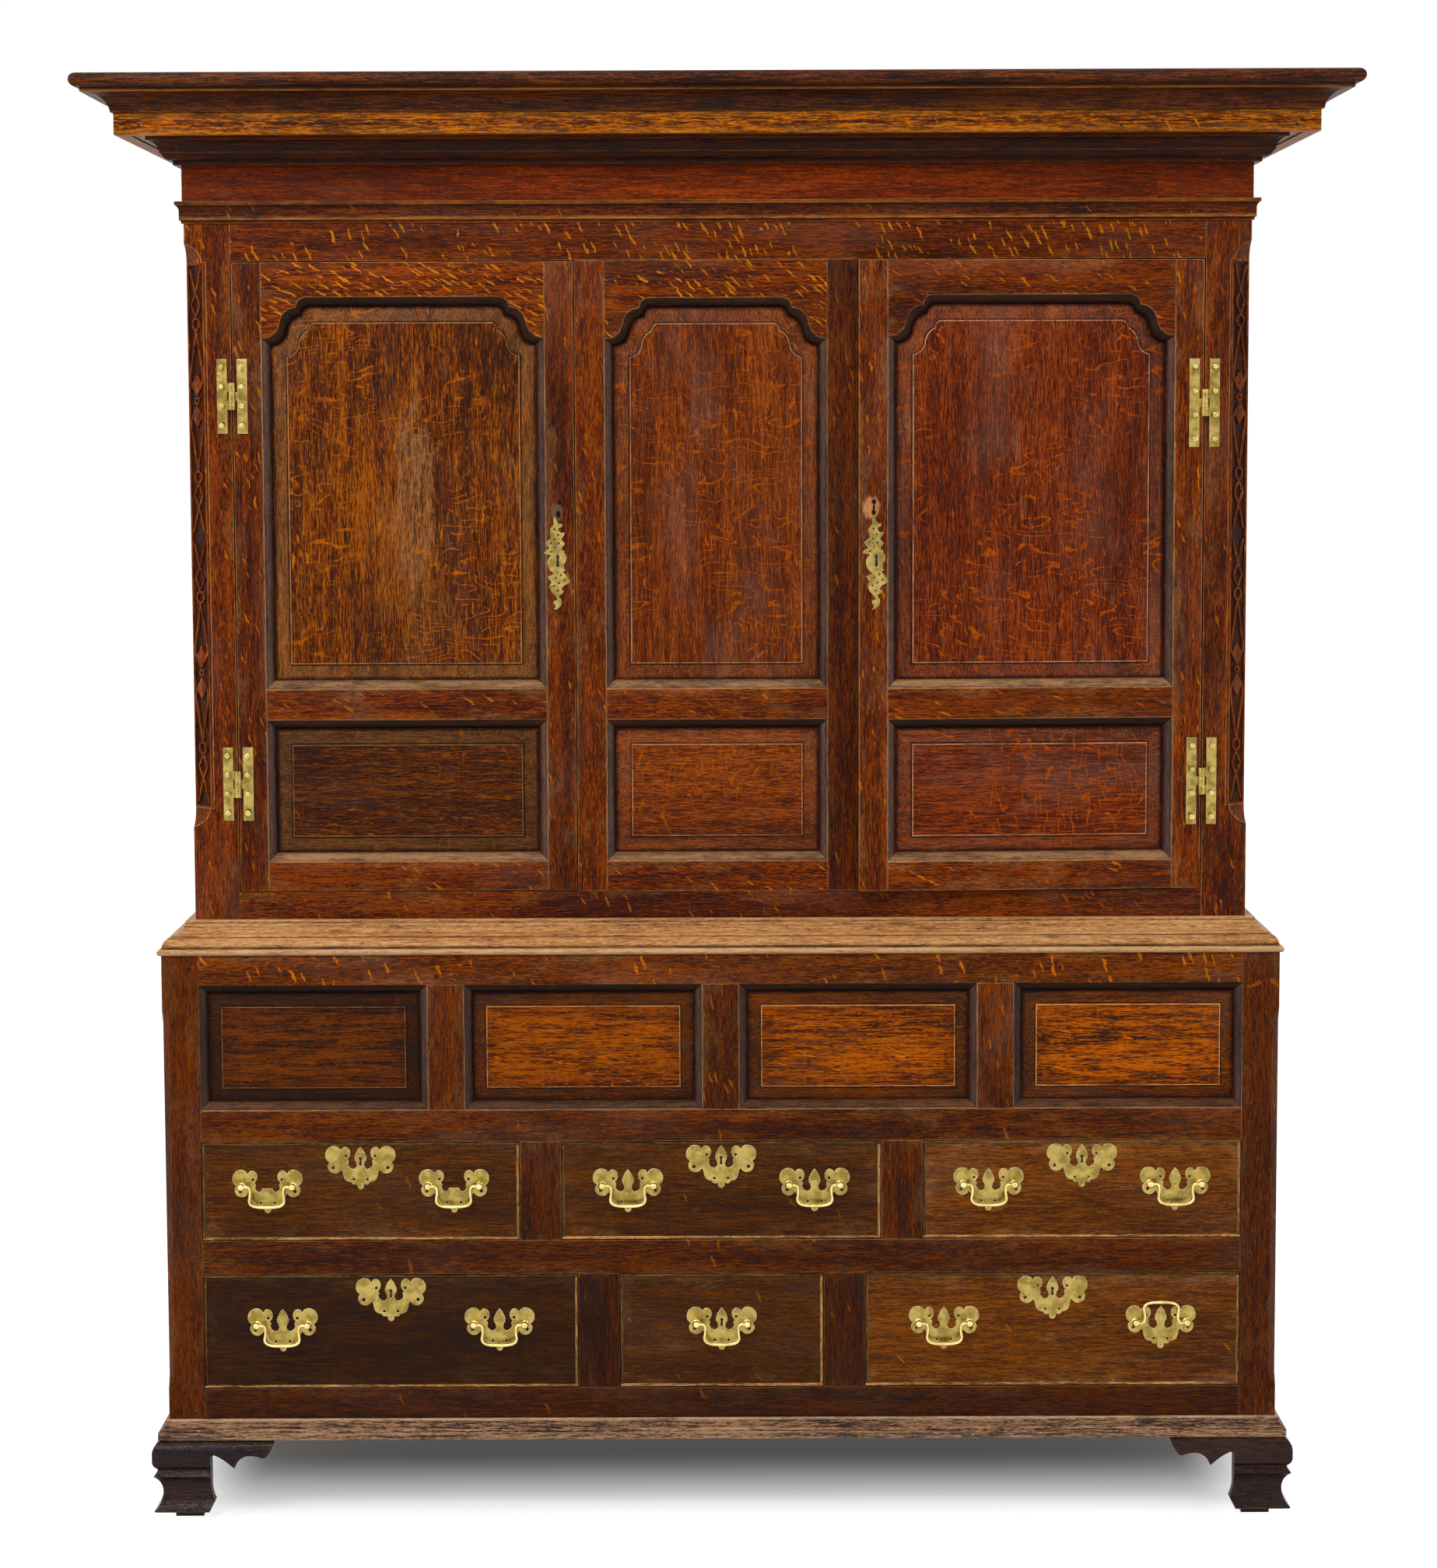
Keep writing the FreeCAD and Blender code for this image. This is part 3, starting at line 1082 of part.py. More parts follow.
def bail(x, z, raised):
    """A swan-necked drop handle of six-sided wire, hanging or thrown up."""
    end = POST_SPACING / 2 - POST_BULB + BAIL_END_LAP
    neck = BAIL_ARM - 1.5
    path = [(end, 0), (BAIL_ARM + 1.5, 0), (neck, -4.5), (neck, -15), (BAIL_ARM, -21)]
    path += [(BAIL_ARM - 7, -BAIL_DROP)]
    path += [(-a, b) for a, b in reversed(path)]
    headings = [math.atan2(q[1] - p[1], q[0] - p[0]) for p, q in zip(path, path[1:])]
    rings = []
    for n, (a, b) in enumerate(path):
        before = headings[max(n - 1, 0)]
        after = headings[min(n, len(headings) - 1)]
        turn = (after - before + math.pi) % (2 * math.pi) - math.pi
        heading = before + turn / 2
        widen = BAIL_RADIUS / math.cos(turn / 2)
        ring = []
        for k in range(6):
            across = widen * math.cos(math.pi * k / 3)
            out = BAIL_RADIUS * math.sin(math.pi * k / 3)
            ring.append(V(x + a - across * math.sin(heading), BAIL_Y - out, z + b + across * math.cos(heading)))
        rings.append(ring)
    shape = skin(rings)
    if raised:
        shape = shape.rotated(V(x, BAIL_Y, z), V(1, 0, 0), -180 - BAIL_LEAN)
    return shape


BAIL_LEAN = math.degrees(math.asin((POST_STAND - BAIL_RADIUS - BAIL_STOP_GAP) / (BAIL_DROP + BAIL_RADIUS)))

HIGH_Z = (HIGH_DRAWER_FLOOR, HIGH_DRAWER_TOP)
LOW_Z = (LOW_DRAWER_FLOOR, LOW_DRAWER_TOP)
HANDLE_PAIR_HIGH = (("left", -HIGH_HANDLE_OFFSET), ("right", HIGH_HANDLE_OFFSET))
HANDLE_PAIR_LOW = (("left", -LOW_HANDLE_OFFSET), ("right", LOW_HANDLE_OFFSET))

# Each drawer: its name, opening, handles, and the levels of its posts and keyhole.
DRAWERS = (
    ("upper_drawer_left", HIGH_ROW[0], HIGH_Z, HANDLE_PAIR_HIGH, HIGH_POST_LEVEL, HIGH_KEY_LEVEL),
    ("upper_drawer_middle", HIGH_ROW[1], HIGH_Z, HANDLE_PAIR_HIGH, HIGH_POST_LEVEL, HIGH_KEY_LEVEL),
    ("upper_drawer_right", HIGH_ROW[2], HIGH_Z, HANDLE_PAIR_HIGH, HIGH_POST_LEVEL, HIGH_KEY_LEVEL),
    ("lower_drawer_left", LOW_ROW[0], LOW_Z, HANDLE_PAIR_LOW, LOW_POST_LEVEL, LOW_KEY_LEVEL),
    ("lower_drawer_middle", LOW_ROW[1], LOW_Z, (("middle", 0.0),), LOW_POST_LEVEL, None),
    ("lower_drawer_right", LOW_ROW[2], LOW_Z, HANDLE_PAIR_LOW, LOW_POST_LEVEL, LOW_KEY_LEVEL),
)
RAISED_BAIL = "lower_drawer_right_bail_right"
PLAIN_HANDLES = "upper_drawer_left"


def drawer_brasses(x, z, handles, post_level, key_level, spired):
    """Plates, posts and lock of one drawer."""
    middle = (x[0] + x[1]) / 2
    solids = [drawer_lock(x, z)]
    for _, offset in handles:
        post_z = z[0] + post_level
        centre = middle + offset
        solids.append(back_plate(centre, post_z, spired, key_level is None))
        for side in (-1, 1):
            solids.append(handle_post(centre + side * POST_SPACING / 2, post_z, -side))
    if key_level is not None:
        solids.append(back_plate(middle, z[0] + key_level, True, True))
    return solids


# ---- The whole press -------------------------------------------------------------
save("crown_moulding", crown_moulding())
save("cornice_fascia", cornice_fascia())
save("bed_moulding", bed_moulding())
save("frieze", frieze())
save("cornice_boards", cornice_boards())
save("architrave_moulding", architrave_moulding())
save("upper_posts", upper_posts())
save("blind_fretwork", blind_fretwork())
save("upper_rails", drilled(upper_rails()))
save("centre_frame", centre_frame())
save("centre_panels", centre_panels())
case_rails, case_panels = side_frames()
save("side_rails", case_rails)
save("side_panels", case_panels)
save("back_boards", back_boards())
save("cupboard_boards", cupboard_boards())
save("shelves", shelves())
save("shelf_bearers", shelf_bearers())
save("fixed_hinge_leaves", hinge_leaves(-1, False) + hinge_leaves(1, False))
save("waist_moulding", waist_moulding())
save("lower_posts", drilled(lower_posts()))
save("lower_rails", drilled(lower_rails()))
save("lower_muntins", lower_muntins())
save("lower_panels", lower_panels())
save("drawer_runners", drawer_runners())
save("base_moulding", base_moulding())
save("bracket_feet", bracket_feet())
save("joint_pegs", joint_pegs())

for door_side, door_name in ((-1, "left_door"), (1, "right_door")):
    save(door_name + "_frame", hung(door_side, door_frame(door_side)))
    save(door_name + "_panels", hung(door_side, door_panels(door_side)))
    brass = hinge_leaves(door_side, True) + [door_escutcheon(door_side)]
    save(door_name + "_brasses", hung(door_side, brass))
    save(door_name + "_lock", hung(door_side, door_lock(door_side)))

for drawer_name, span_x, span_z, grips, post_height, key_height in DRAWERS:
    save(drawer_name, drawer(span_x, span_z))
    spires = drawer_name != PLAIN_HANDLES
    brasses = drawer_brasses(span_x, span_z, grips, post_height, key_height, spires)
    save(drawer_name + "_brasses", brasses)
    for hand, shift in grips:
        bail_name = "%s_bail_%s" % (drawer_name, hand)
        bail_x = (span_x[0] + span_x[1]) / 2 + shift
        save(bail_name, [bail(bail_x, span_z[0] + post_height, bail_name == RAISED_BAIL)])
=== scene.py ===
import json
import math
import random

import bmesh
import bpy
import numpy as np
from mathutils import Euler, Matrix, Vector
from mathutils.bvhtree import BVHTree


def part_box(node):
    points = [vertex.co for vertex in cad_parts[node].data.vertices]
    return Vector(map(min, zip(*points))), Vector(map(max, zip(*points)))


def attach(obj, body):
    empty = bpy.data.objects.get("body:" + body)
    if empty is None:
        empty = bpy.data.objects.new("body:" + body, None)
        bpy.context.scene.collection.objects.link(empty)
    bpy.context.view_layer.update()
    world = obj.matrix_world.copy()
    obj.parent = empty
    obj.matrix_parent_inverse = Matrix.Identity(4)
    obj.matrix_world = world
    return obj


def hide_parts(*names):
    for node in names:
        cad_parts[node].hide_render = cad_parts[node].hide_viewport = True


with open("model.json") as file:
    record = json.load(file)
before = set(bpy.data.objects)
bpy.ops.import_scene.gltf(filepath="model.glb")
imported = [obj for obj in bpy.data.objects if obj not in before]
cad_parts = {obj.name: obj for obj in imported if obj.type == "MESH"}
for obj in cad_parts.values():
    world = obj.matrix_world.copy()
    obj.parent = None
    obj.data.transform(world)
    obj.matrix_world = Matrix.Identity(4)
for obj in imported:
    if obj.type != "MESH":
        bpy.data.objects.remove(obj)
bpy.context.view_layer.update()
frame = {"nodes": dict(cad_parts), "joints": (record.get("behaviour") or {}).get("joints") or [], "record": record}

# The linen press is dressed node by node. Every oak piece carries its own grain:
# each board has coordinates of its own, across, through and along the grain, so
# that the figure runs the right way and differs from board to board.

MM = 0.001
BODIES = frame["record"]["behaviour"]["bodies"]
BODY_OF = {node: body for body, nodes in BODIES.items() for node in nodes}
JOINTS = {joint["child"]: joint for joint in frame["joints"]}

ARRIS = 0.9 * MM
SHARP = math.radians(32)


# ---- Reading the frame -------------------------------------------------------------
def case_front(node):
    """Half width and front plane of the case that a post node carries."""
    low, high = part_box(node)
    return (high.x - low.x) / 2, low.y


UPPER_HALF, UPPER_FRONT = case_front("upper_posts")
LOWER_HALF, LOWER_FRONT = case_front("lower_posts")
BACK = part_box("back_boards")[1].y
LOWER_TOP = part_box("lower_posts")[1].z
DIGITS = 6  # of a place in metres


def solids_of(node):
    """The solids of a node as lists of triangles. Each solid's triangles come one
    after another, and a solid ends where no edge is left open."""
    mesh = frame["nodes"][node].data
    points = [tuple(round(c, DIGITS) for c in v.co) for v in mesh.vertices]
    solids, current, unmatched = [], [], set()
    for polygon in mesh.polygons:
        corners = [points[v] for v in polygon.vertices]
        current.append(corners)
        for a, b in zip(corners, corners[1:] + corners[:1]):
            if (b, a) in unmatched:
                unmatched.discard((b, a))
            elif a != b:
                unmatched.add((a, b))
        if not unmatched:
            solids.append(current)
            current = []
    return solids


def extent(solid):
    points = np.array([corner for triangle in solid for corner in triangle])
    return Vector(points.min(0)), Vector(points.max(0))


def stand(name, data):
    """A new object in the scene."""
    thing = bpy.data.objects.new(name, data)
    bpy.context.scene.collection.objects.link(thing)
    return thing


# ---- Boards and their grain --------------------------------------------------------
# The axes of a front board's grain, and a distance beyond the whole press.
LYING, UPRIGHT = 0, 2
FAR = 1000.0
# How near a neighbour makes a joint, what counts as one place, and the least length
# that a cut leaves of a board.
JOINT_REACH = 1.4 * MM
SAME_PLACE = 1e-5
END_LEFT = 3 * MM
# Faces that turn less than this are one face; a slope over FACING faces up or down.
FLAT = math.radians(0.5)
FACING = 0.3
# How much painted highlight an eased arris gets as it faces up, down or aside; below 0 marks a joint.
ARRIS_LIT_UP, ARRIS_LIT_DOWN, ARRIS_LIT_ASIDE, IN_JOINT = 1.0, 0.4, 0.7, -1.0


def mark(mesh, grain, figure, seed, boxed=True, spread=0.14, tone=0.0):
    """Gives a board its grain coordinates and its own tone. grain is 0, 1 or 2 for
    the axis that the grain follows. A board that isn't boxed has no arrises."""
    count = len(mesh.vertices)
    places = np.empty(count * 3)
    mesh.vertices.foreach_get("co", places)
    places = places.reshape(-1, 3)
    low, high = places.min(0), places.max(0)
    rest = sorted((i for i in range(3) if i != grain), key=lambda i: low[i] - high[i])
    draw = random.Random(seed)
    put(mesh, "board", places[:, [*rest, grain]] + [draw.uniform(3, 40) for _ in range(3)])
    if not boxed:
        low, high = np.full(3, -FAR), np.full(3, FAR)
    put(mesh, "low", np.tile(low, (count, 1)))
    put(mesh, "high", np.tile(high, (count, 1)))
    put(mesh, "tone", np.full(count, tone + draw.uniform(-spread, spread)))
    put(mesh, "figure", np.full(count, figure + draw.uniform(-0.12, 0.12)))
    faces = len(mesh.polygons)
    # Marks a board may lack: rubbing with painted highlight, grime with painted shade, and eased rims.
    for name, domain, size in (("wear", "POINT", count), ("dirt", "POINT", count), ("rim", "FACE", faces)):
        if name not in mesh.attributes:
            put(mesh, name, np.zeros(size), domain)


def put(mesh, name, values, domain="POINT"):
    """Writes numbers, or rows of three, to a mark of a mesh."""
    rows = np.ndim(values) == 2
    kind = "FLOAT_VECTOR" if rows else "FLOAT"
    layer = mesh.attributes.get(name) or mesh.attributes.new(name, kind, domain)
    layer.data.foreach_set("vector" if rows else "value", np.ravel(values))


def long_axis(low, high):
    size = high - low
    return max(range(3), key=lambda i: size[i])


def is_same(box, other):
    return all(abs(a - b) < SAME_PLACE for a, b in zip(box, other))


def bound_in(boxes, low, high, axis):
    """Where along a board its neighbours begin and end."""
    reach = 2 * JOINT_REACH
    cuts = set()
    for box in boxes:
        touches = all(box[i] < high[i] + reach and box[i + 3] > low[i] - reach for i in range(3))
        if touches and not is_same(box, [*low, *high]):
            for place in (box[axis], box[axis + 3]):
                if low[axis] + END_LEFT < place < high[axis] - END_LEFT:
                    cuts.add(round(place, 4))
    return sorted(cuts)


def eased(solid, arris=ARRIS, boxes=()):
    """A solid's triangles as a mesh with flat faces joined and its arrises eased. The
    eased faces are told apart: above 0 on an open arris, by the painted highlight its
    facing gets, below 0 in a joint."""
    form = bmesh.new()
    corner_of = {}
    for triangle in solid:
        for place in triangle:
            if place not in corner_of:
                corner_of[place] = form.verts.new(place)
        if len(set(triangle)) == 3:
            form.faces.new([corner_of[place] for place in triangle])
    bmesh.ops.dissolve_limit(form, angle_limit=FLAT, verts=form.verts, edges=form.edges)
    low, high = extent(solid)
    if len(boxes):
        axis = long_axis(low, high)
        normal = Vector([float(i == axis) for i in range(3)])
        for place in bound_in(boxes, low, high, axis):
            everything = form.verts[:] + form.edges[:] + form.faces[:]
            bmesh.ops.bisect_plane(form, geom=everything, plane_co=normal * place, plane_no=normal)
    sharp = [e for e in form.edges if len(e.link_faces) == 2 and e.calc_face_angle() > SHARP]
    rim = form.faces.layers.float.new("rim")
    if arris:
        made = bmesh.ops.bevel(
            form, geom=sharp, offset=arris, offset_type="OFFSET", segments=2, profile=0.6,
            affect="EDGES", clamp_overlap=True,
        )
        form.normal_update()
        for face in made["faces"]:
            face[rim] = openness(face, boxes, [*low, *high])
    return mesh_of(form, "board")


def mesh_of(form, name):
    mesh = bpy.data.meshes.new(name)
    form.to_mesh(mesh)
    form.free()
    return mesh


def openness(face, boxes, own):
    """How much painted highlight an eased arris gets: most where it faces up,
    less where it faces down; an arris in a joint gets IN_JOINT.
    """
    place, normal = face.calc_center_median(), face.normal
    for axis in range(3):
        if abs(normal[axis]) < FACING:
            continue
        probe = place.copy()
        probe[axis] += math.copysign(JOINT_REACH, normal[axis])
        for box in boxes:
            if not is_same(box, own) and all(box[i] < probe[i] < box[i + 3] for i in range(3)):
                return IN_JOINT
    return ARRIS_LIT_UP if normal.z > FACING else ARRIS_LIT_DOWN if normal.z < -FACING else ARRIS_LIT_ASIDE


def joined(meshes):
    """Several meshes with the same marks as one."""
    whole = bmesh.new()
    for mesh in meshes:
        whole.from_mesh(mesh)
        bpy.data.meshes.remove(mesh)
    return mesh_of(whole, "joined")


def piece(name, parts, materials, nodes=(), body=None):
    """Makes a mesh, or several, a piece of the press that stands for its nodes."""
    nodes = [nodes] if isinstance(nodes, str) else list(nodes)
    body = body or BODY_OF[nodes[0]]
    mesh = joined(parts) if isinstance(parts, list) else parts
    mesh.transform(at_rest(body))
    mesh.name = name
    mesh.shade_smooth()
    mesh.set_sharp_from_angle(angle=SHARP)
    if not mesh.materials:
        for material in materials if isinstance(materials, (list, tuple)) else [materials]:
            mesh.materials.append(material)
    thing = stand(name, mesh)
    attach(thing, body)
    if nodes:
        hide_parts(*nodes)


def at_rest(body):
    """The turn that takes a door from shut, or a bail from hanging, to its rest."""
    joint = JOINTS.get(body)
    if joint is None or "range_deg" not in joint:
        return Matrix.Identity(4)
    turn = Matrix.Rotation(math.radians(-joint["range_deg"][0]), 4, Vector(joint["axis"]))
    place = Matrix.Translation(joint["pos_m"])
    return place @ turn @ place.inverted()


def shut_solids(node):
    """The solids of a node where they are with its joint at its lower limit."""
    move = at_rest(BODY_OF[node]).inverted()
    if move == Matrix.Identity(4):
        return solids_of(node)

    def moved(place):
        return tuple(round(c, DIGITS) for c in move @ Vector(place))

    return [[[moved(place) for place in triangle] for triangle in solid] for solid in solids_of(node)]


def boxes_of(nodes):
    """The boxes of the solids of some nodes, as rows of low and high corners."""
    extents = [extent(solid) for node in nodes for solid in shut_solids(node)]
    return [(*low, *high) for low, high in extents]


def joinery(node, materials, figures=(1.15, 0.25), arris=ARRIS, near=None, of=None, tones=None,
            spread=0.14):
    """A node of boards, each with its grain along it. figures are the slants of the
    ray flecks on boards that lie and on boards that stand. of gives a board's number
    in the list of materials."""
    near = boxes_of([node]) if near is None else near
    boards = []
    for number, solid in enumerate(shut_solids(node)):
        low, high = extent(solid)
        grain = long_axis(low, high)
        mesh = eased(solid, arris, near)
        tone = tones(number, low, high) if tones else 0.0
        figure = figures[1] if grain == UPRIGHT else figures[0]
        mark(mesh, grain, figure, node + str(number), spread=spread, tone=tone)
        if of:
            mesh.polygons.foreach_set("material_index", [of(number)] * len(mesh.polygons))
        boards.append(mesh)
    piece(node + "_oak", boards, materials, node)


# ---- Outlines and runs of moulding -------------------------------------------------
# The turn of one chord of an arc; the lengths below are in millimetres.
CHORD_TURN = 0.22
CREST = 0.55
LONG_SIDE = 6.0
NEAR_CORNER = 1.6
HOLLOW_REACH = 5.0
CORNER_EASE = 0.9
MITRE_GAP = 0.12 * MM
STATION = 55


def arc(start, across, bulge, count):
    """The points of an arc over a chord. bulge is its rise over half its chord."""
    half = 2 * math.atan(bulge)
    side = Vector((-across.y, across.x))
    points = []
    for n in range(1, count + 1):
        turn = half * (2 * n / count - 1)
        along = 0.5 + math.sin(turn) / math.sin(half) / 2
        rise = (math.cos(turn) - math.cos(half)) / math.sin(half) / 2
        points.append(start + across * along + side * rise)
    return points


def traced(start, moves):
    """The points of an outline. A move is (across, up) for a straight and (across,
    up, bulge) for an arc."""
    points = [Vector(start)]
    for move in moves:
        across = Vector(move[:2])
        if len(move) == 3:
            count = max(2, math.ceil(abs(4 * math.atan(move[2])) / CHORD_TURN))
            points += arc(points[-1], across, move[2], count)
        else:
            points.append(points[-1] + across)
    if (points[-1] - points[0]).length < 0.001:
        points.pop()
    return points


def mirrored(points, twice=0.0):
    """The other half of an outline. twice is double the place of its middle."""
    return [Vector((twice - p.x, p.y)) for p in reversed(points)]


def rounded(points, radius):
    """An outline with its sharp corners eased by two short chords."""
    result = []
    count = len(points)
    for n, point in enumerate(points):
        before, after = points[n - 1] - point, points[(n + 1) % count] - point
        turn = math.pi - before.angle(after)
        if turn < SHARP:
            result.append(point)
            continue
        cut = min(radius, before.length * 0.4, after.length * 0.4)
        first, last = point + before.normalized() * cut, point + after.normalized() * cut
        result += [first, (first + last) / 2 * 0.45 + point * 0.55, last]
    return result


def divided(points):
    """An outline with two more points on each long side, close to its corners."""
    result = []
    for n, point in enumerate(points):
        result.append(point)
        side = points[(n + 1) % len(points)] - point
        if side.length > LONG_SIDE:
            near = side.normalized() * NEAR_CORNER
            result += [point + near, point + side / 2, point + side - near]
    return result


def hollows(points):
    """For each point of an outline, how far it lies in a hollow (below 0: a crest)."""
    result = []
    count = len(points)
    for n, point in enumerate(points):
        before, after = points[n - 1], points[(n + 1) % count]
        outward = Vector((after.y - before.y, before.x - after.x))
        others = [points[(n + m) % count] for m in range(-8, 9)]
        others = [other for other in others if 0 < (other - point).length < HOLLOW_REACH]
        if not others or outward.length == 0:
            result.append(0.0)
        else:
            mean = sum(others, Vector((0, 0))) / len(others)
            result.append((mean - point).dot(outward.normalized()))
    return result


def run_of_moulding(section, half, front, seed):
    """A front length and two returns, mitred at the corners. section is an outline in
    millimetres as (projection, height), anticlockwise."""
    points = divided(rounded([Vector(p) for p in section], CORNER_EASE))
    depth = np.array(hollows(points))
    along = np.cumsum([0.0] + [(b - a).length for a, b in zip(points, points[1:])])
    lengths = []
    for side in (0, -1, 1):
        rings = []
        span = 2 * half / MM if side == 0 else (BACK - front) / MM
        count = max(2, round(span / STATION))
        for station in range(count + 1):
            share = station / count
            ring = []
            for out, z in ((p * MM, z * MM) for p, z in points):
                if side == 0:
                    ring.append(Vector(((half + out) * (2 * share - 1) * (1 - MITRE_GAP), front - out, z)))
                else:
                    y = front - out + MITRE_GAP + (BACK - front + out - MITRE_GAP) * share
                    ring.append(Vector((side * (half + out), y, z)))
            rings.append(ring)
        mesh = skin(rings, flip=side != 1)
        order = np.arange(len(mesh.vertices)) % len(points)
        # Crests take rubbing with painted highlight and hollows take grime with painted shade, by how far each
        # point lies out or in.
        put(mesh, "wear", np.clip((-depth[order] - CREST) * 1.3, 0, 1))
        put(mesh, "dirt", np.clip((depth[order] - 0.2) * 1.1, 0, 1))
        mark(mesh, 0 if side == 0 else 1, 1.1, seed + str(side), boxed=False)
        unroll(mesh, along[order] * MM)
        lengths.append(mesh)
    return joined(lengths)


def unroll(mesh, along):
    """Lets the grain coordinate across a moulding follow its section."""
    board = np.empty(len(mesh.vertices) * 3)
    mesh.attributes["board"].data.foreach_get("vector", board)
    board = board.reshape(-1, 3)
    board[:, 0] = board[:, 0].mean() + along
    board[:, 1] = board[:, 1].mean()
    put(mesh, "board", board)


def skin(rings, flip=False):
    """A mesh between rings of as many points, with flat ends."""
    count = len(rings[0])
    faces = []
    for a in range(0, (len(rings) - 1) * count, count):
        for n in range(count):
            m = (n + 1) % count
            faces.append((a + n, a + m, a + count + m, a + count + n))
    faces.append(tuple(reversed(range(count))))
    last = (len(rings) - 1) * count
    faces.append(tuple(range(last, last + count)))
    if flip:
        faces = [tuple(reversed(face)) for face in faces]
    mesh = bpy.data.meshes.new("skin")
    mesh.from_pydata([place for ring in rings for place in ring], [], faces)
    mesh.update()
    return mesh


# ---- Materials ---------------------------------------------------------------------
def shade(red, green, blue):
    """A colour given as display values from 0 to 255."""
    linear = []
    for value in (red, green, blue):
        share = value / 255
        linear.append(share / 12.92 if share <= 0.04045 else ((share + 0.055) / 1.055) ** 2.4)
    return (*linear, 1.0)


class Flow:
    """What flows out of a node: a number, a vector or a colour. Sums on it add nodes."""

    def __init__(self, web, socket):
        self.web, self.socket = web, socket

    def reckon(self, kind, other=None, third=None, clamp=False):
        inputs = {n: value for n, value in enumerate((self, other, third)) if value is not None}
        if self.socket.type == "VALUE":
            return self.web.out("ShaderNodeMath", inputs, operation=kind, use_clamp=clamp)
        if kind == "MULTIPLY" and not isinstance(other, tuple):
            kind, inputs = "SCALE", {0: self, "Scale": other}
        return self.web.out("ShaderNodeVectorMath", inputs, operation=kind)

    def __add__(self, other):
        return self.reckon("ADD", other)

    def __sub__(self, other):
        return self.reckon("SUBTRACT", other)

    def __mul__(self, other):
        return self.reckon("MULTIPLY", other)

    def most(self, other):
        return self.reckon("MAXIMUM", other)

    def least(self, other):
        return self.reckon("MINIMUM", other)

    def length(self):
        return self.web.out("ShaderNodeVectorMath", {0: self}, "Value", operation="LENGTH")

    def parts(self):
        node = self.web.add("ShaderNodeSeparateXYZ", {0: self})
        return [Flow(self.web, socket) for socket in node.outputs]

    def ramp(self, low, high, start=0.0, end=1.0, smooth=True):
        """The number from low to high as start to end, held outside."""
        inputs = {"Value": self, "From Min": low, "From Max": high, "To Min": start, "To Max": end}
        kind = "SMOOTHSTEP" if smooth else "LINEAR"
        return self.web.out("ShaderNodeMapRange", inputs, "Result", interpolation_type=kind)


class Web:
    """Adds nodes to a tree and links them as they are made."""

    def __init__(self, tree):
        self.tree = tree

    def add(self, kind, inputs=(), **settings):
        node = self.tree.nodes.new(kind)
        for name, value in settings.items():
            setattr(node, name, value)
        for socket, value in dict(inputs).items():
            self.feed(node.inputs[socket], value)
        return node

    def out(self, kind, inputs=(), socket=0, **settings):
        return Flow(self, self.add(kind, inputs, **settings).outputs[socket])

    def feed(self, socket, value):
        value = value.socket if isinstance(value, Flow) else value
        if isinstance(value, bpy.types.NodeSocket):
            self.tree.links.new(value, socket)
        else:
            socket.default_value = value

    def number(self, name):
        return self.out("ShaderNodeAttribute", (), "Fac", attribute_name=name)

    def vector(self, name):
        return self.out("ShaderNodeAttribute", (), "Vector", attribute_name=name)

    def object_place(self):
        return self.out("ShaderNodeTexCoord", (), "Object")

    def stretched(self, place, scale, turn=0.0):
        return self.out("ShaderNodeMapping", {"Vector": place, "Scale": scale, "Rotation": (0, turn, 0)})

    def noise(self, place, scale, detail, rough, bend=0.0, socket="Fac"):
        """Clouds. A scale of three numbers stretches them."""
        if isinstance(scale, tuple):
            place, scale = self.stretched(place, scale), 1.0
        inputs = {"Vector": place, "Scale": scale, "Detail": detail, "Roughness": rough, "Distortion": bend}
        return self.out("ShaderNodeTexNoise", inputs, socket)

    def drift(self, place, scale, detail, rough, reach):
        """A wandering vector, up to half of reach each way."""
        return (self.noise(place, scale, detail, rough, 0.0, "Color") - (0.5, 0.5, 0.5)) * reach

    def mix(self, share, first, second):
        return self.out("ShaderNodeMix", {0: share, 6: first, 7: second}, 2, data_type="RGBA")

    def colours(self, value, stops):
        """A colour from value, by stops of (value, colour) in order."""
        node = self.add("ShaderNodeValToRGB", {"Fac": value})
        bar = node.color_ramp.elements
        while len(bar) < len(stops):
            bar.new(0.5)
        for element, (place, colour) in zip(bar, stops):
            element.position = place
            element.color = colour
        return Flow(self, node.outputs["Color"])

    def dress(self, height, strength, depth, values):
        """Ends a material: a surface with these values, and the bumps of a height."""
        bump = self.out("ShaderNodeBump", {"Height": height, "Strength": strength, "Distance": depth})
        surface = self.out("ShaderNodeBsdfPrincipled", {**values, "Normal": bump})
        self.add("ShaderNodeOutputMaterial", {"Surface": surface})


def new_material(name, colours=()):
    """A material with an empty web, and its colours."""
    material = bpy.data.materials.new(name)
    material.use_nodes = True
    material.node_tree.nodes.clear()
    return material, Web(material.node_tree), [shade(*colour) for colour in colours]


def edge_distance(web):
    """Metres from a point of a boxed board to its nearest arris: the second of its
    three distances to the board's faces."""
    place = web.object_place()
    x, y, z = (place - web.vector("low")).least(web.vector("high") - place).parts()
    return x.least(y).most(x.most(y).least(z))


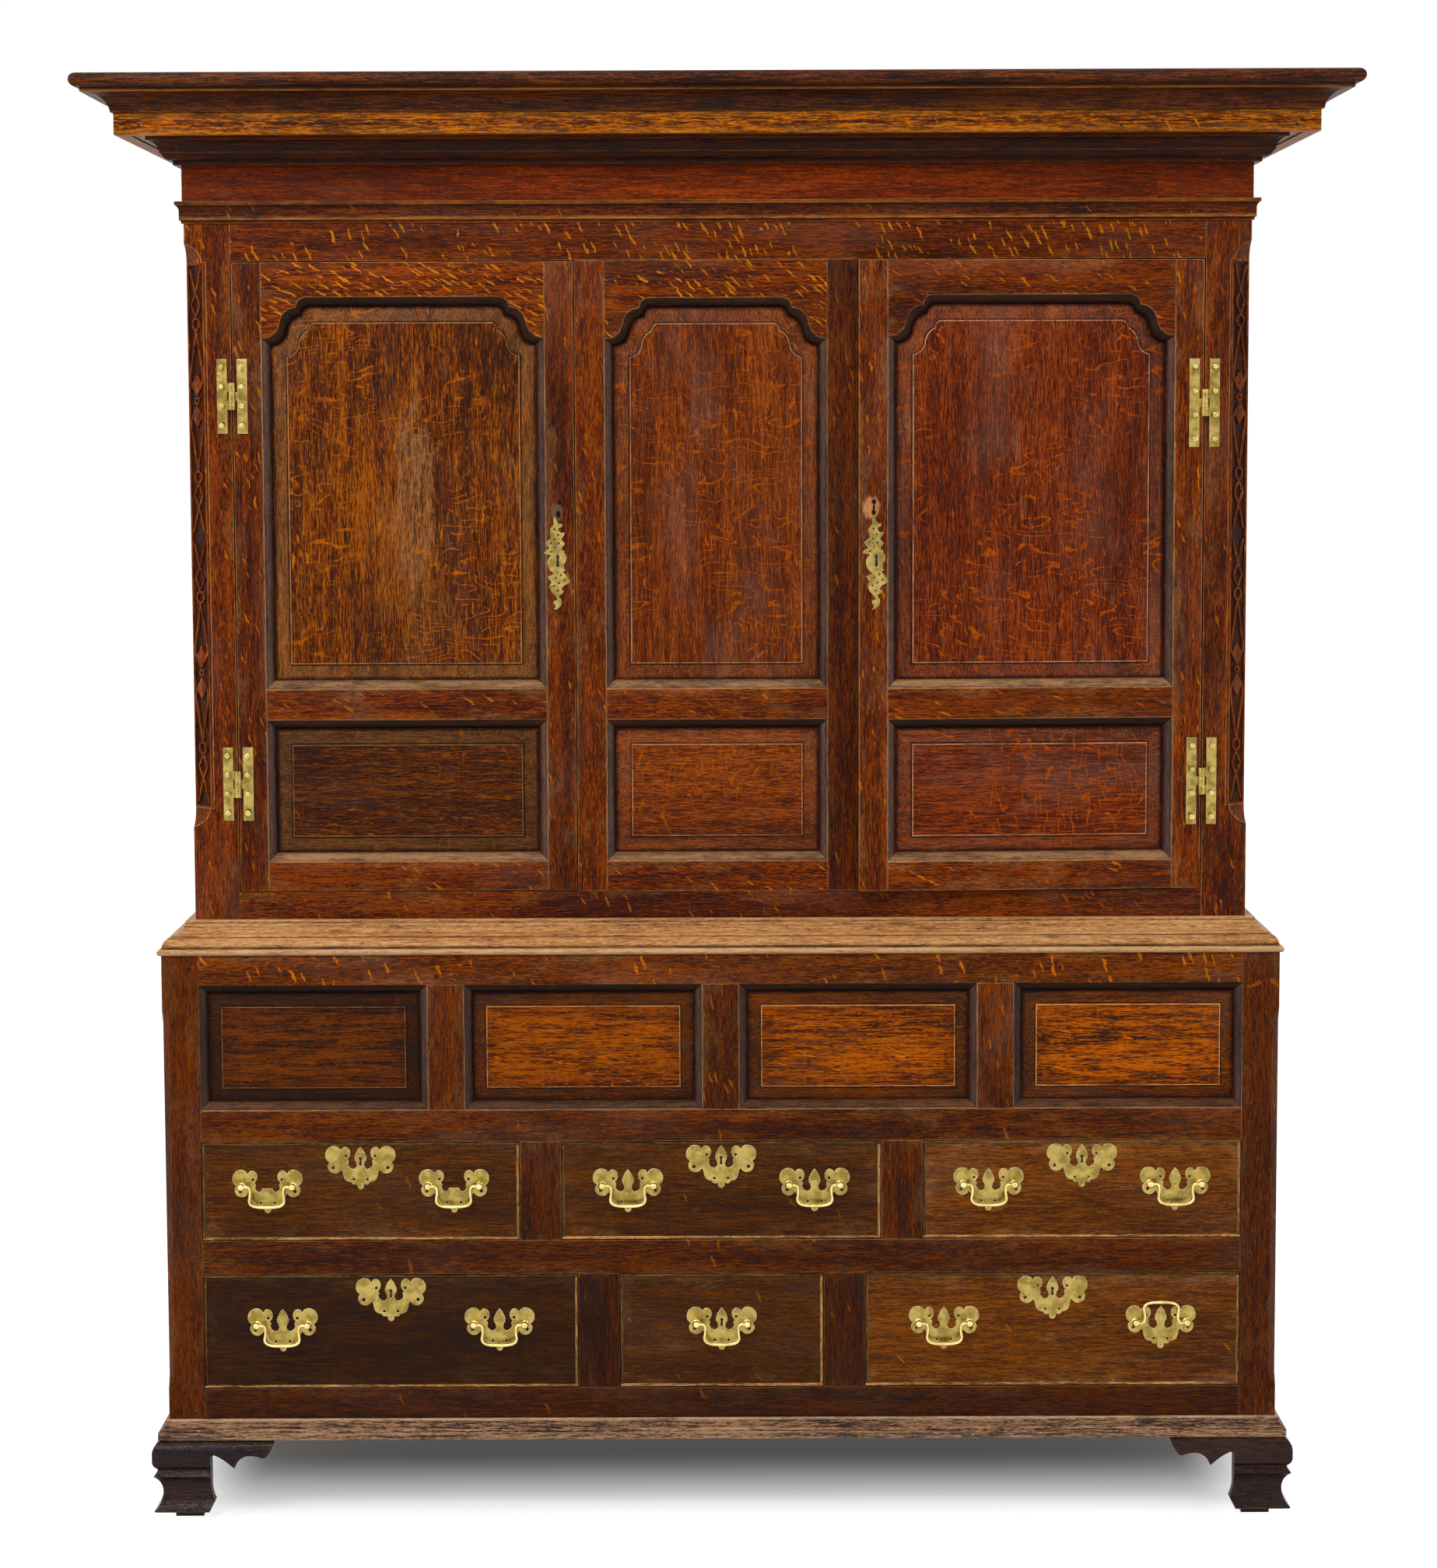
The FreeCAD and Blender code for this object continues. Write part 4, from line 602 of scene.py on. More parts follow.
def ray_flecks(web, board, density, dash):
    """Short bright dashes of cut rays, aslant to the grain, in clusters. density is
    the share of places that carry one where they cluster."""
    swayed = board + web.drift(board, (13, 13, 8), 1, 0.5, 0.022)
    turn = {"Vector": swayed, "Angle": web.number("figure"), "Axis": (0, 1, 0)}
    turned = web.out("ShaderNodeVectorRotate", turn, rotation_type="AXIS_ANGLE")
    x, _, z = (turned + web.drift(board, (90, 90, 90), 2, 0.6, 0.0085)).parts()
    cell = web.out("ShaderNodeCombineXYZ", {0: x * dash[0], 1: z * dash[1]})
    cells = {"Vector": cell, "Scale": 1.0, "Randomness": 1.0}
    spots = web.add("ShaderNodeTexVoronoi", cells, voronoi_dimensions="2D").outputs
    slant, size, strength = Flow(web, spots["Color"]).parts()
    away = (cell - Flow(web, spots["Position"])) * (2.5, 1.0, 0.0)
    reach = away.length() + size.ramp(0.0, 1.0, -0.12, 0.2, False)
    bunch = web.noise(board, (14, 14, 7), 2, 0.6).ramp(0.34, 0.54)
    shown = slant.reckon("LESS_THAN", bunch * density)
    return reach.ramp(0.26, 0.42, 1.0, 0.0) * shown * strength.ramp(0.0, 1.0, 0.6, 1.0, False)


def ray_bands(web, board):
    """Thin wavy lines of ray that arch across the grain of a panel."""
    bent = board + web.drift(board, (30, 30, 24), 2, 0.5, 0.016)
    level = web.noise(bent, (5, 5, 17), 2, 0.45)
    near = ((level * 17.0).reckon("FRACT") - 0.5).reckon("ABSOLUTE")
    broken = web.noise(board, (38, 38, 90), 2, 0.6).ramp(0.44, 0.54)
    patch = web.noise(board, (8, 8, 5), 2, 0.5).ramp(0.4, 0.56)
    return near.ramp(0.02, 0.12, 1.0, 0.0) * broken * patch


SOLID_SPOT = 0.8
# A pale bloom, partly the old finish and partly a painted sheen.
WAX_BLOOM_AND_SHEEN = shade(158, 118, 102)
# Grime, also used as painted shade where light doesn't reach.
GRIME_AND_SHADE = shade(18, 8, 5)
# The near-white of a painted highlight on brass rims.
RIM_HIGHLIGHT = shade(255, 246, 200)
EVEN_LEVEL = 0.495
PORE_SHADE = 0.35


def oak(name, *colours, flecks=0.0, bands=0.0, rub=0.0, gloss=0.42, haze=0.15, glow=0.0,
        coarse=1.0, soft=1.0, dash=(120.0, 48.0), sheen=0.1, spots=()):
    """Waxed quarter-sawn oak. The five colours are for the deep grain, the ground, the
    early wood, the ray flecks, and rubbed places along with painted highlights. soft
    above 1 calms the grain. dash is how many flecks lie side by side and end to end
    in a metre. A spot is a centre (x, z), two radii, a colour and its strength, in
    metres on the front of a piece."""
    material, web, (dark, mid, light, fleck, rubbed_and_lit) = new_material(name, colours)
    board = web.vector("board")
    broad = web.noise(board, (8, 8, 2.2), 2, 0.6)
    streak = web.noise(board, (620 * coarse, 620, 40 * coarse), 3, 0.65, 0.25)
    fine = web.noise(board, (1400, 1400, 130), 2, 0.6)
    band = web.noise(board, (75 * coarse, 75, 5), 2, 0.55)
    level = streak.reckon("MULTIPLY_ADD", 0.55, fine * 0.45)
    level += broad.ramp(0.25, 0.75, -0.045, 0.045, False)
    level += band.ramp(0.25, 0.75, -0.055, 0.055, False)
    stops = ((EVEN_LEVEL - 0.085 * soft, dark), (EVEN_LEVEL, mid), (EVEN_LEVEL + 0.08 * soft, light))
    ground = web.colours(level, stops)
    if bands:
        ribbon = ray_bands(web, board) * fine.ramp(0.3, 0.6, 0.4, 1.0)
        ground = web.mix(ribbon * bands, ground, fleck)
    edge = edge_distance(web)
    # Painted light: away from its edges a board is lifted towards the fleck colour, by up to glow.
    if glow:
        ground = web.mix(edge.ramp(0.012, 0.07, 0.0, glow) * level.ramp(0.42, 0.56), ground, fleck)
    ground = web.mix(ray_flecks(web, board, flecks, dash) * 0.9, ground, fleck)
    patch = web.noise(board, (34, 34, 12), 4, 0.7)
    if rub:
        rubbed = (patch - edge.ramp(0.0, 0.03, -0.1, 0.04)).ramp(0.55, 0.72, 0.0, rub)
        ground = web.mix(rubbed * fine.ramp(0.35, 0.55, 0.3, 1.0), ground, rubbed_and_lit)
    # Clouds of pale bloom up to haze: partly the old finish, partly painted sheen.
    bloom_and_sheen = web.noise(board, (11, 11, 4), 3, 0.6).ramp(0.48, 0.72, 0.0, haze)
    ground = web.mix(bloom_and_sheen, ground, WAX_BLOOM_AND_SHEEN)
    place = web.object_place()
    for (x, z), (across, up), colour, strength in spots:
        away = (place - (x, 0, z)) * (1 / across, 0, 1 / up)
        reach = away.length() + patch.ramp(0.3, 0.7, 0.45, -0.45, False)
        share = reach.ramp(0.6, 1.1, strength, 0.0)
        if strength < SOLID_SPOT:
            share *= level.ramp(0.4, 0.56, 0.1, 1.0)
        ground = web.mix(share, ground, shade(*colour))
    pores = web.noise(board, (1500, 1500, 95), 1, 0.5).ramp(0.55, 0.66, 0.0, 0.6)
    ground = web.mix(pores, ground, (*(c * PORE_SHADE for c in dark[:3]), 1.0))

    run = web.noise(board, (70, 70, 16), 3, 0.65)
    # Painted highlight with rubbing: open arrises, most where they face up, and lit stations take the rubbed
    # colour.
    rim = web.number("rim")
    arris = rim.most(web.number("wear")).reckon("MULTIPLY", run.ramp(0.34, 0.56, 0.4, 1.0), clamp=True)
    ground = web.mix(arris * level.ramp(0.42, 0.52, 0.45, 1.0), ground, rubbed_and_lit)
    # Grime in joints, and painted shade in hollows, grooves, downward ovolos and behind the fret.
    joint = (rim * -0.85).most(web.number("dirt"))
    ground = web.mix(joint.reckon("MULTIPLY", run.ramp(0.3, 0.6, 0.65, 1.0), clamp=True), ground, GRIME_AND_SHADE)
    toned = ground * (web.number("tone") + 1.0)
    rough = level.ramp(0.4, 0.6, gloss - 0.05, gloss + 0.1) + bloom_and_sheen.ramp(0.0, 0.3, 0.0, 0.08)
    rich = web.out("ShaderNodeHueSaturation", {"Saturation": 1.085, "Value": 0.98, "Color": toned})
    height = level * 1.6 - pores * 0.6 + broad * 1.5
    values = {"Base Color": rich, "Roughness": rough + pores * 0.2, "Specular IOR Level": sheen}
    web.dress(height, 0.55, 0.0006, values)
    return material


def raw_oak(name, *colours):
    """Unfinished oak of the boards inside and behind, sawn and grey with dust."""
    material, web, (dark, mid, light) = new_material(name, colours)
    board = web.vector("board")
    streak = web.noise(board, (240, 240, 6), 4, 0.65, 0.4)
    broad = web.noise(board, (7, 7, 2), 3, 0.6)
    saw = web.noise(board, (12, 12, 420), 2, 0.5)
    pore = web.noise(board, (1200, 1200, 50), 1, 0.5)
    level = streak + broad.ramp(0.3, 0.7, -0.06, 0.06, False)
    ground = web.colours(level, ((0.38, dark), (0.5, mid), (0.62, light)))
    ground = web.mix(pore.ramp(0.55, 0.68, 0.0, 0.5), ground, dark)
    ground = web.mix(edge_distance(web).ramp(0.001, 0.03, 0.5, 0.0), ground, dark)
    web.dress(streak + saw * 0.5, 0.5, 0.0008, {
        "Base Color": ground * (web.number("tone") + 1.0), "Roughness": streak.ramp(0.3, 0.7, 0.68, 0.85),
        "Specular IOR Level": 0.25,
    })
    return material


def old_brass(name, *colours):
    """Rubbed brass, dull on its flats, dark in its pits, and bright on its rims, rubbed and with a painted
    highlight.
    """
    material, web, (dull, bright, tarnish) = new_material(name, colours)
    place = web.object_place()
    cloud = web.noise(place, 65, 4, 0.6, 0.2)
    speck = web.noise(place, 800, 3, 0.6)
    scratch = web.noise(web.stretched(place, (300, 300, 2400), 0.5), 1.0, 2, 0.5)
    ground = web.mix(cloud.ramp(0.35, 0.65, 0.0, 0.7), dull, bright)
    ground = web.mix(speck.ramp(0.56, 0.74, 0.0, 0.45), ground, tarnish)
    # Painted highlight: the rims take a near-white colour and less metal, so they stay bright.
    rim = web.number("rim").most(0.0)
    rough = cloud.ramp(0.3, 0.7, 0.2, 0.38) + speck.ramp(0.4, 0.7, 0.0, 0.14)
    web.dress(cloud + scratch * 0.15, 0.4, 0.0005, {
        "Base Color": web.mix(rim.reckon("MULTIPLY", 0.9, clamp=True), ground, RIM_HIGHLIGHT),
        "Metallic": rim.reckon("MULTIPLY_ADD", -0.45, 1.0, clamp=True), "Roughness": rough - rim * 0.06,
    })
    return material


def old_iron(name, *colours):
    material, web, (dark, rust) = new_material(name, colours)
    cloud = web.noise(web.object_place(), 120, 5, 0.65, 0.2)
    web.dress(cloud, 0.5, 0.0006, {
        "Base Color": web.mix(cloud.ramp(0.35, 0.65), dark, rust), "Metallic": 0.7,
        "Roughness": cloud.ramp(0.3, 0.7, 0.45, 0.75),
    })
    return material


TAN = (214, 156, 106)
DOOR_DASH = (118.0, 40.0)
RAIL_DASH = (92.0, 40.0)
SOFT_DASH = (75.0, 34.0)
BLACK, HOLE_SHADE = (12, 6, 4), (10, 5, 4)
# The black and near-black spots are painted shade: the dark inside the keyholes.
DOOR_SPOTS = (
    ((-0.2245, 1.4185), (0.009, 0.013), (136, 106, 84), 0.8),
    ((-0.2215, 1.4335), (0.0032, 0.0032), BLACK, 1.0),
    ((-0.2235, 1.4165), (0.0036, 0.0055), HOLE_SHADE, 1.0),
    ((0.2145, 1.4255), (0.0125, 0.016), (226, 160, 112), 0.95),
    ((0.2152, 1.4335), (0.0038, 0.0042), BLACK, 1.0),
    ((0.215, 1.425), (0.0022, 0.008), HOLE_SHADE, 1.0),
    ((0.215, 1.4185), (0.0036, 0.0042), BLACK, 1.0),
)
LEFT_PANEL_SPOTS = (
    ((-0.425, 1.45), (0.03, 0.15), (190, 142, 100), 0.5),
    ((-0.43, 1.34), (0.07, 0.14), (184, 116, 66), 0.35),
)
CARCASE_OAK = oak(
    "carcase_oak", (44, 16, 9), (93, 37, 19), (168, 84, 40), (214, 120, 50), TAN, flecks=0.12, rub=0.15,
    soft=1.1)
TOP_RAIL_OAK = oak(
    "top_rail_oak", (40, 15, 8), (100, 41, 19), (166, 78, 34), (244, 150, 48), TAN, flecks=0.75, rub=0.1,
    soft=1.1, dash=RAIL_DASH)
FRIEZE_OAK = oak(
    "frieze_oak", (48, 19, 11), (114, 45, 22), (192, 84, 38), (190, 84, 34), (190, 128, 80), rub=0.1,
    coarse=0.7, soft=2.0)
DOOR_RAIL_OAK = oak(
    "door_rail_oak", (44, 16, 8), (98, 41, 19), (170, 82, 34), (240, 146, 46), TAN, flecks=0.8, rub=0.1,
    soft=1.1, dash=DOOR_DASH)
DOOR_OAK = oak(
    "door_oak", (44, 16, 9), (96, 41, 22), (164, 82, 42), (226, 130, 54), (222, 166, 116), flecks=0.16,
    rub=0.18, soft=1.1, spots=DOOR_SPOTS)
LOW_TOP_RAIL_OAK = oak(
    "low_top_rail_oak", (38, 16, 9), (84, 38, 18), (146, 76, 36), (222, 124, 52), TAN, flecks=0.4,
    rub=0.15, soft=1.15, dash=SOFT_DASH)
LOW_POST_OAK = oak(
    "low_post_oak", (36, 15, 8), (80, 36, 17), (138, 70, 34), (200, 112, 48), TAN, flecks=0.06, rub=0.12,
    soft=1.2)
LOW_OAK = oak(
    "low_case_oak", (38, 16, 9), (84, 38, 18), (146, 76, 36), (214, 118, 50), TAN, flecks=0.04, rub=0.15,
    soft=1.15, dash=SOFT_DASH)
LEFT_PANEL_OAK = oak(
    "left_panel_oak", (36, 16, 9), (94, 42, 21), (190, 110, 58), (230, 126, 46), (204, 150, 100),
    flecks=0.06, bands=0.85, rub=0.4, haze=0.1, soft=1.3, spots=LEFT_PANEL_SPOTS)
CENTRE_PANEL_OAK = oak(
    "centre_panel_oak", (50, 21, 12), (122, 58, 34), (190, 106, 62), (216, 112, 46), (214, 156, 120),
    flecks=0.06, bands=0.8, rub=0.25, haze=0.25, soft=1.5)
RIGHT_PANEL_OAK = oak(
    "right_panel_oak", (44, 16, 11), (106, 45, 28), (172, 88, 56), (222, 104, 38), (222, 166, 130),
    flecks=0.05, bands=0.95, rub=0.25, haze=0.22, soft=1.3, coarse=0.8)
LOW_PANEL_OAK = oak(
    "low_panel_oak", (40, 17, 8), (88, 37, 15), (160, 78, 28), (222, 116, 36), TAN, flecks=0.1, bands=0.25,
    rub=0.2, soft=1.1, coarse=0.7, glow=0.5)
# Painted shade: a darker oak for the lying lengths of the ovolos, whose heads face down; their feet get painted
# highlight from OVOLO_LIGHT.
SHADED_OVOLO_OAK = oak(
    "ovolo_oak", (28, 12, 8), (64, 30, 20), (108, 58, 38), (140, 78, 44), (222, 172, 128), haze=0.0,
    gloss=0.3, soft=1.4, sheen=0.08)
# Painted sheen: a paler, greyer oak for the standing lengths of the ovolos, for the side light they catch.
SHEEN_SIDE_OVOLO_OAK = oak(
    "side_ovolo_oak", (24, 10, 8), (62, 30, 24), (116, 68, 54), (140, 78, 44), (232, 190, 158), haze=0.05,
    gloss=0.26, soft=1.6, sheen=0.16)
MOULDING_OAK = oak(
    "moulding_oak", (22, 9, 5), (70, 33, 19), (132, 74, 42), (160, 96, 52), (166, 108, 66), haze=0.05,
    sheen=0.12, coarse=0.7)
# Painted shade: the bed moulding's oak is darkest, for the shadow under the cornice.
SHADED_BED_OAK = oak(
    "bed_oak", (16, 6, 4), (52, 22, 13), (104, 52, 30), (120, 64, 34), (150, 88, 50), haze=0.05,
    sheen=0.12, coarse=0.7)
ARCHITRAVE_OAK = oak(
    "architrave_oak", (30, 12, 7), (74, 32, 18), (136, 70, 38), (190, 110, 52), (214, 140, 84),
    flecks=0.05, haze=0.05, coarse=0.7)
FASCIA_OAK = oak(
    "fascia_oak", (44, 17, 8), (136, 62, 28), (240, 138, 60), (255, 160, 72), (236, 160, 92), flecks=0.1,
    haze=0.04, coarse=0.7, soft=0.8)
# Painted light: the waist moulding's oak is far paler, for its lit top faces.
LIT_WAIST_OAK = oak(
    "waist_oak", (104, 54, 24), (238, 170, 112), (255, 208, 152), (240, 180, 120), (255, 214, 166),
    rub=0.2, haze=0.0, sheen=0.2, coarse=0.6, soft=1.7)
BASE_OAK = oak(
    "base_oak", (22, 9, 6), (100, 60, 42), (222, 172, 134), (190, 134, 100), (246, 208, 168), rub=0.1,
    sheen=0.2, coarse=0.8, soft=0.65)
DRAWER_OAK = oak(
    "drawer_oak", (40, 20, 9), (68, 37, 17), (104, 60, 29), (140, 80, 34), (186, 144, 100), flecks=0.03,
    rub=0.12, haze=0.05, soft=1.35, coarse=0.7)
# Painted highlight: the cock beads are paler than the drawer fronts, for their lit line.
LIT_BEAD_OAK = oak(
    "bead_oak", (66, 38, 20), (130, 88, 52), (190, 144, 96), (190, 144, 96), (236, 196, 146), rub=0.2,
    haze=0.0)
FOOT_OAK = oak(
    "foot_oak", (13, 6, 4), (40, 20, 14), (76, 44, 34), (100, 64, 52), (150, 116, 102), rub=0.05,
    haze=0.05, gloss=0.16, sheen=0.16)
RAW_OAK = raw_oak("raw_oak", (88, 60, 36), (140, 103, 66), (176, 136, 92))
BRASS = old_brass("old_brass", (138, 116, 54), (204, 178, 100), (70, 50, 22))
# Painted highlight: bails and posts take a paler brass than the plates.
LIT_BAIL_BRASS = old_brass("bail_brass", (222, 198, 116), (252, 234, 170), (120, 92, 44))
IRON = old_iron("old_iron", (30, 27, 26), (70, 50, 38))
# Painted highlight: nail heads take a paler brass for their bright tops.
LIT_NAIL_BRASS = old_brass("nail_brass", (186, 160, 92), (236, 214, 148), (96, 74, 40))


# ---- Cornice, waist and base -------------------------------------------------------
def run_box(node):
    """How far a moulding reaches past the upper posts, its foot and its height, in
    millimetres."""
    low, high = (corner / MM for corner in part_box(node))
    return high.x - UPPER_HALF / MM, low.z, high.z - low.z


def crown_section():
    out, foot, height = run_box("crown_moulding")
    torus, inner = (height - 31) / 2, 60.0
    moves = [(25, 0), (0, 2), (27, 23, 0.36), (8, 0), (0, 6), (out - torus - inner - 60, 0)]
    return traced((inner, foot), moves + [(0, 2 * torus, -1), (inner - out + torus, 0)])


def fascia_section():
    out, foot, height = run_box("cornice_fascia")
    return traced((out - 20, foot), [(20, 0), (0, height), (-20, 0)])


def bed_section():
    out, foot, height = run_box("bed_moulding")
    moves = [(10, 0), (0, 6), (2, 0), (12, 9, -0.3), (2, 0), (14, 17, 0.36), (out - 41.5, 0)]
    return traced((1.5, foot), moves + [(0, height - 32), (1.5 - out, 0)])


def soffit_section():
    """A thin strip that lies on the bed moulding and closes the way up to the fascia."""
    out, foot, height = run_box("bed_moulding")
    near, far = out - 3, run_box("cornice_fascia")[0] - 20
    return traced((near, foot + height), [(far - near, 0), (0, 3), (near - far, 0)])


def architrave_section():
    _, foot, height = run_box("architrave_moulding")
    moves = [(3, 0), (0, 4), (2.5, 0), (0, 11.5), (5, 9.5, 0.3), (0.5, 0), (0, height - 25), (-11, 0)]
    return traced((0, foot), moves)


def waist_section():
    _, foot, height = run_box("waist_moulding")
    inner = (UPPER_FRONT - LOWER_FRONT) / MM
    moves = [(1, 0), (0, 9, -1), (-2, 0), (-10, 14.5, -0.41), (-3.5, 0), (0, 3.5), (-3, 0)]
    moves += [(-11.5, 14.5, 0.41), (-2, 0), (0, height - 41.5), (31 - inner, 0)]
    return traced((0, foot), moves + [(0, LOWER_TOP / MM - foot - height), (inner, 0)])


def base_section():
    _, foot, height = run_box("base_moulding")
    moves = [(14.5, 0), (0, 11), (-1.5, 0), (0, 1.5), (-2, 2.5, -0.41), (-7, 11, 0.36)]
    return traced((0, foot), moves + [(0, height - 26), (-4, 0)])


def mouldings():
    upper = (UPPER_HALF, UPPER_FRONT)
    lower = (LOWER_HALF, LOWER_FRONT)
    for node, section, case, material in (
        ("crown_moulding", crown_section, upper, MOULDING_OAK),
        ("cornice_fascia", fascia_section, upper, FASCIA_OAK),
        ("bed_moulding", bed_section, upper, SHADED_BED_OAK),
        ("architrave_moulding", architrave_section, upper, ARCHITRAVE_OAK),
        ("waist_moulding", waist_section, lower, LIT_WAIST_OAK),
        ("base_moulding", base_section, lower, BASE_OAK),
    ):
        piece(node + "_run", run_of_moulding(section(), *case, node), material, node)
    soffit = run_of_moulding(soffit_section(), *upper, "soffit")
    piece("cornice_soffit", soffit, MOULDING_OAK, body=BODY_OF["bed_moulding"])


# ---- Panels ------------------------------------------------------------------------
OPENING_SHOULDER = ((26.0, 21.0, -0.41), (23.0, 22.0, 0.41), (14.0, 14.0, 0.41))
FIELD_SHOULDER = ((17.0, 20.0, -0.36), (14.0, 17.0, 0.25), (8.0, 10.0, 0.41))
HEAD_CHORDS = 9


def opening_outline(low, high, inset=0.0, field=None):
    """An opening's outline in millimetres, as (across, up), drawn in by inset."""
    x0, x1 = low[0] + inset, high[0] - inset
    z0, z1 = low[1] + inset, high[1] - inset
    points = [Vector((x0, z0)), Vector((x1, z0))]
    if field is None:
        return points + [Vector((x1, z1)), Vector((x0, z1))]
    share = inset / field
    moves = []
    for outer, inner in zip(OPENING_SHOULDER, FIELD_SHOULDER):
        moves.append([p + (q - p) * share for p, q in zip(outer, inner)])
    right = [Vector((x1, z1 - sum(up for _, up, _ in moves)))]
    for across, up, bulge in moves:
        right += arc(right[-1], Vector((-across, up)), -bulge, HEAD_CHORDS)
    return points + right + mirrored(right, x0 + x1)


def ring(outline, plane, axis):
    """An outline in millimetres set in the plane at a depth, facing -Y or -X."""
    places = [(p.x, plane, p.y) if axis == 1 else (plane, p.x, p.y) for p in outline]
    return [Vector([c * MM for c in place]) for place in places]


# Millimetres: how far in the raised field starts, and the depths of ground and back.
UPPER_FIELD, LOWER_FIELD, SIDE_FIELD = 35.0, 31.0, 40.0
PANEL_GROUND = 12.0
PANEL_BACK = 20.0
OVOLO_WIDTH = 13.0


def fielded_panel(low, high, front, field, shaped, grain, seed, sign=1, axis=1, sink=4.0,
                  bevel_wear=0.0, bevel_dark=0.15, tone=0.0):
    """A raised and fielded panel: flat back, bevel, small step and field. A station
    is its inset and depth in millimetres, how rubbed and lit it is, and how grimy and
    shaded; the ground next to the ovolo takes painted shade."""
    bevel = (bevel_wear, bevel_dark)
    stations = [
        (0, PANEL_BACK, 0, 0), (0, PANEL_GROUND, 0, 1), (OVOLO_WIDTH - 2, PANEL_GROUND, 0, 1),
        (OVOLO_WIDTH, PANEL_GROUND, 0, 1), (OVOLO_WIDTH + 2, PANEL_GROUND - 0.3, 0, 0.7),
        (OVOLO_WIDTH + 5, PANEL_GROUND - 0.8, *bevel), (field - 3.0, sink + 3.1, *bevel),
        (field - 1.0, sink + 2.7, 0, 0.8), (field - 0.3, sink + 2.5, 0, 1), (field, sink + 0.6, 0.3, 0.0),
        (field + 0.3, sink + 0.2, 1, 0), (field + 1.4, sink, 1, 0), (field + 1.9, sink, 0.0, 0.2),
        (field + 5.0, sink, 0.0, 0.0),
    ]
    rings = []
    for inset, depth, _, _ in stations:
        outline = opening_outline(low, high, inset, field if shaped else None)
        rings.append(ring(outline, front + sign * depth, axis))
    mesh = skin(rings, flip=(sign > 0) == (axis == 1))
    put(mesh, "wear", np.repeat([s[2] for s in stations], len(rings[0])).astype(float))
    put(mesh, "dirt", np.repeat([s[3] for s in stations], len(rings[0])).astype(float))
    mark(mesh, grain, 0.15, seed, spread=0.05, tone=tone)
    return mesh


PANEL_TONE = {
    "left_door_panels0": -0.45, "lower_panels0": -0.6, "lower_panels2": 0.05, "lower_panels4": 0.3,
    "lower_panels6": 0.55,
}
# Painted light on an ovolo's lengths: the least highlight, the factor on the stations' highlight, and the least
# shade; the foot is lit and the head shaded.
OVOLO_LIGHT = {
    "foot": (0.6, 1.1, 0.0), "head": (0.0, 0.6, 0.8),
    "left": (0.0, 0.9, 0.25), "right": (0.0, 0.9, 0.3),
    "low_foot": (0.14, 1.1, 0.1), "low_head": (0.0, 0.4, 0.85),
    "low_left": (0.0, 0.5, 0.5), "low_right": (0.0, 0.9, 0.4),
}
OVOLO_STATIONS = (
    (0, 12, 0, 0), (0, 0.6, 0, 0.3), (0.35, 0.5, 0.9, 0), (1.1, 0.5, 0.9, 0), (1.3, 1.2, 0, 0.7),
    (1.6, 1.35, 0.1, 0.4), (3.5, 1.7, 0.15, 0), (5.8, 2.7, 0.15, 0), (8, 4.2, 0.1, 0), (10, 6.2, 0, 0.1),
    (11.6, 8.4, 0, 0.3), (12.5, 10.4, 0, 0.8), (12.8, 12, 0, 1),
)


def panel_ovolo(low, high, front, field, shaped, seed):
    """The ovolo round an opening, in four lengths with their own grain. OVOLO_LIGHT is
    painted light: each length's least highlight, the factor on its stations' rubbed
    arris, and its least shade."""
    outlines = [opening_outline(low, high, s[0], field if shaped else None) for s in OVOLO_STATIONS]
    count = len(outlines[0])
    lengths = []
    for name, grain, order in (
        ("foot", LYING, [0, 1]), ("right", UPRIGHT, [1, 2]), ("left", UPRIGHT, [count - 1, 0]),
        ("head", LYING, range(2, count)),
    ):
        rings = []
        for k in order:
            stations = zip(OVOLO_STATIONS, outlines)
            rings.append([ring([outline[k]], front + s[1], 1)[0] for s, outline in stations])
        mesh = skin(rings, flip=True)
        upper = shaped or "door" in seed or "centre" in seed
        least, lit, shaded = OVOLO_LIGHT[name if upper else "low_" + name]
        put(mesh, "wear", np.tile([float(max(s[2] * lit, least)) for s in OVOLO_STATIONS], len(order)))
        put(mesh, "dirt", np.tile([float(max(s[3], shaded)) for s in OVOLO_STATIONS], len(order)))
        # Lying lengths take the ovolo oak with painted shade, standing ones the oak with painted sheen.
        figure, timber = (0.9, 1) if grain == LYING else (0.2, 2)
        mark(mesh, grain, figure, seed + name, boxed=False)
        mesh.polygons.foreach_set("material_index", [timber] * len(mesh.polygons))
        lengths.append(mesh)
    return joined(lengths)


def front_panels(node, material, field, heads=False):
    """The panels and mouldings of a front. Where heads is true the taller panel of
    each pair has a shaped head."""
    boxes = [extent(solid) for solid in shut_solids(node)]
    parts = []
    for number in range(0, len(boxes), 2):
        low, high = boxes[number]
        front = boxes[number + 1][0].y / MM - 0.5
        tall = high.z - low.z > high.x - low.x
        opening = ((low.x / MM, low.z / MM), (high.x / MM, high.z / MM), front, field, heads and tall)
        seed = node + str(number)
        parts.append(fielded_panel(
            *opening, UPRIGHT if tall else LYING, seed, tone=PANEL_TONE.get(seed, 0.0),
            bevel_wear=0.3 if "left" in node else 0.1, bevel_dark=0.15 if heads else 0.62,
        ))
        parts.append(panel_ovolo(*opening, seed))
    piece(node + "_oak", parts, [material, SHADED_OVOLO_OAK, SHEEN_SIDE_OVOLO_OAK], node)


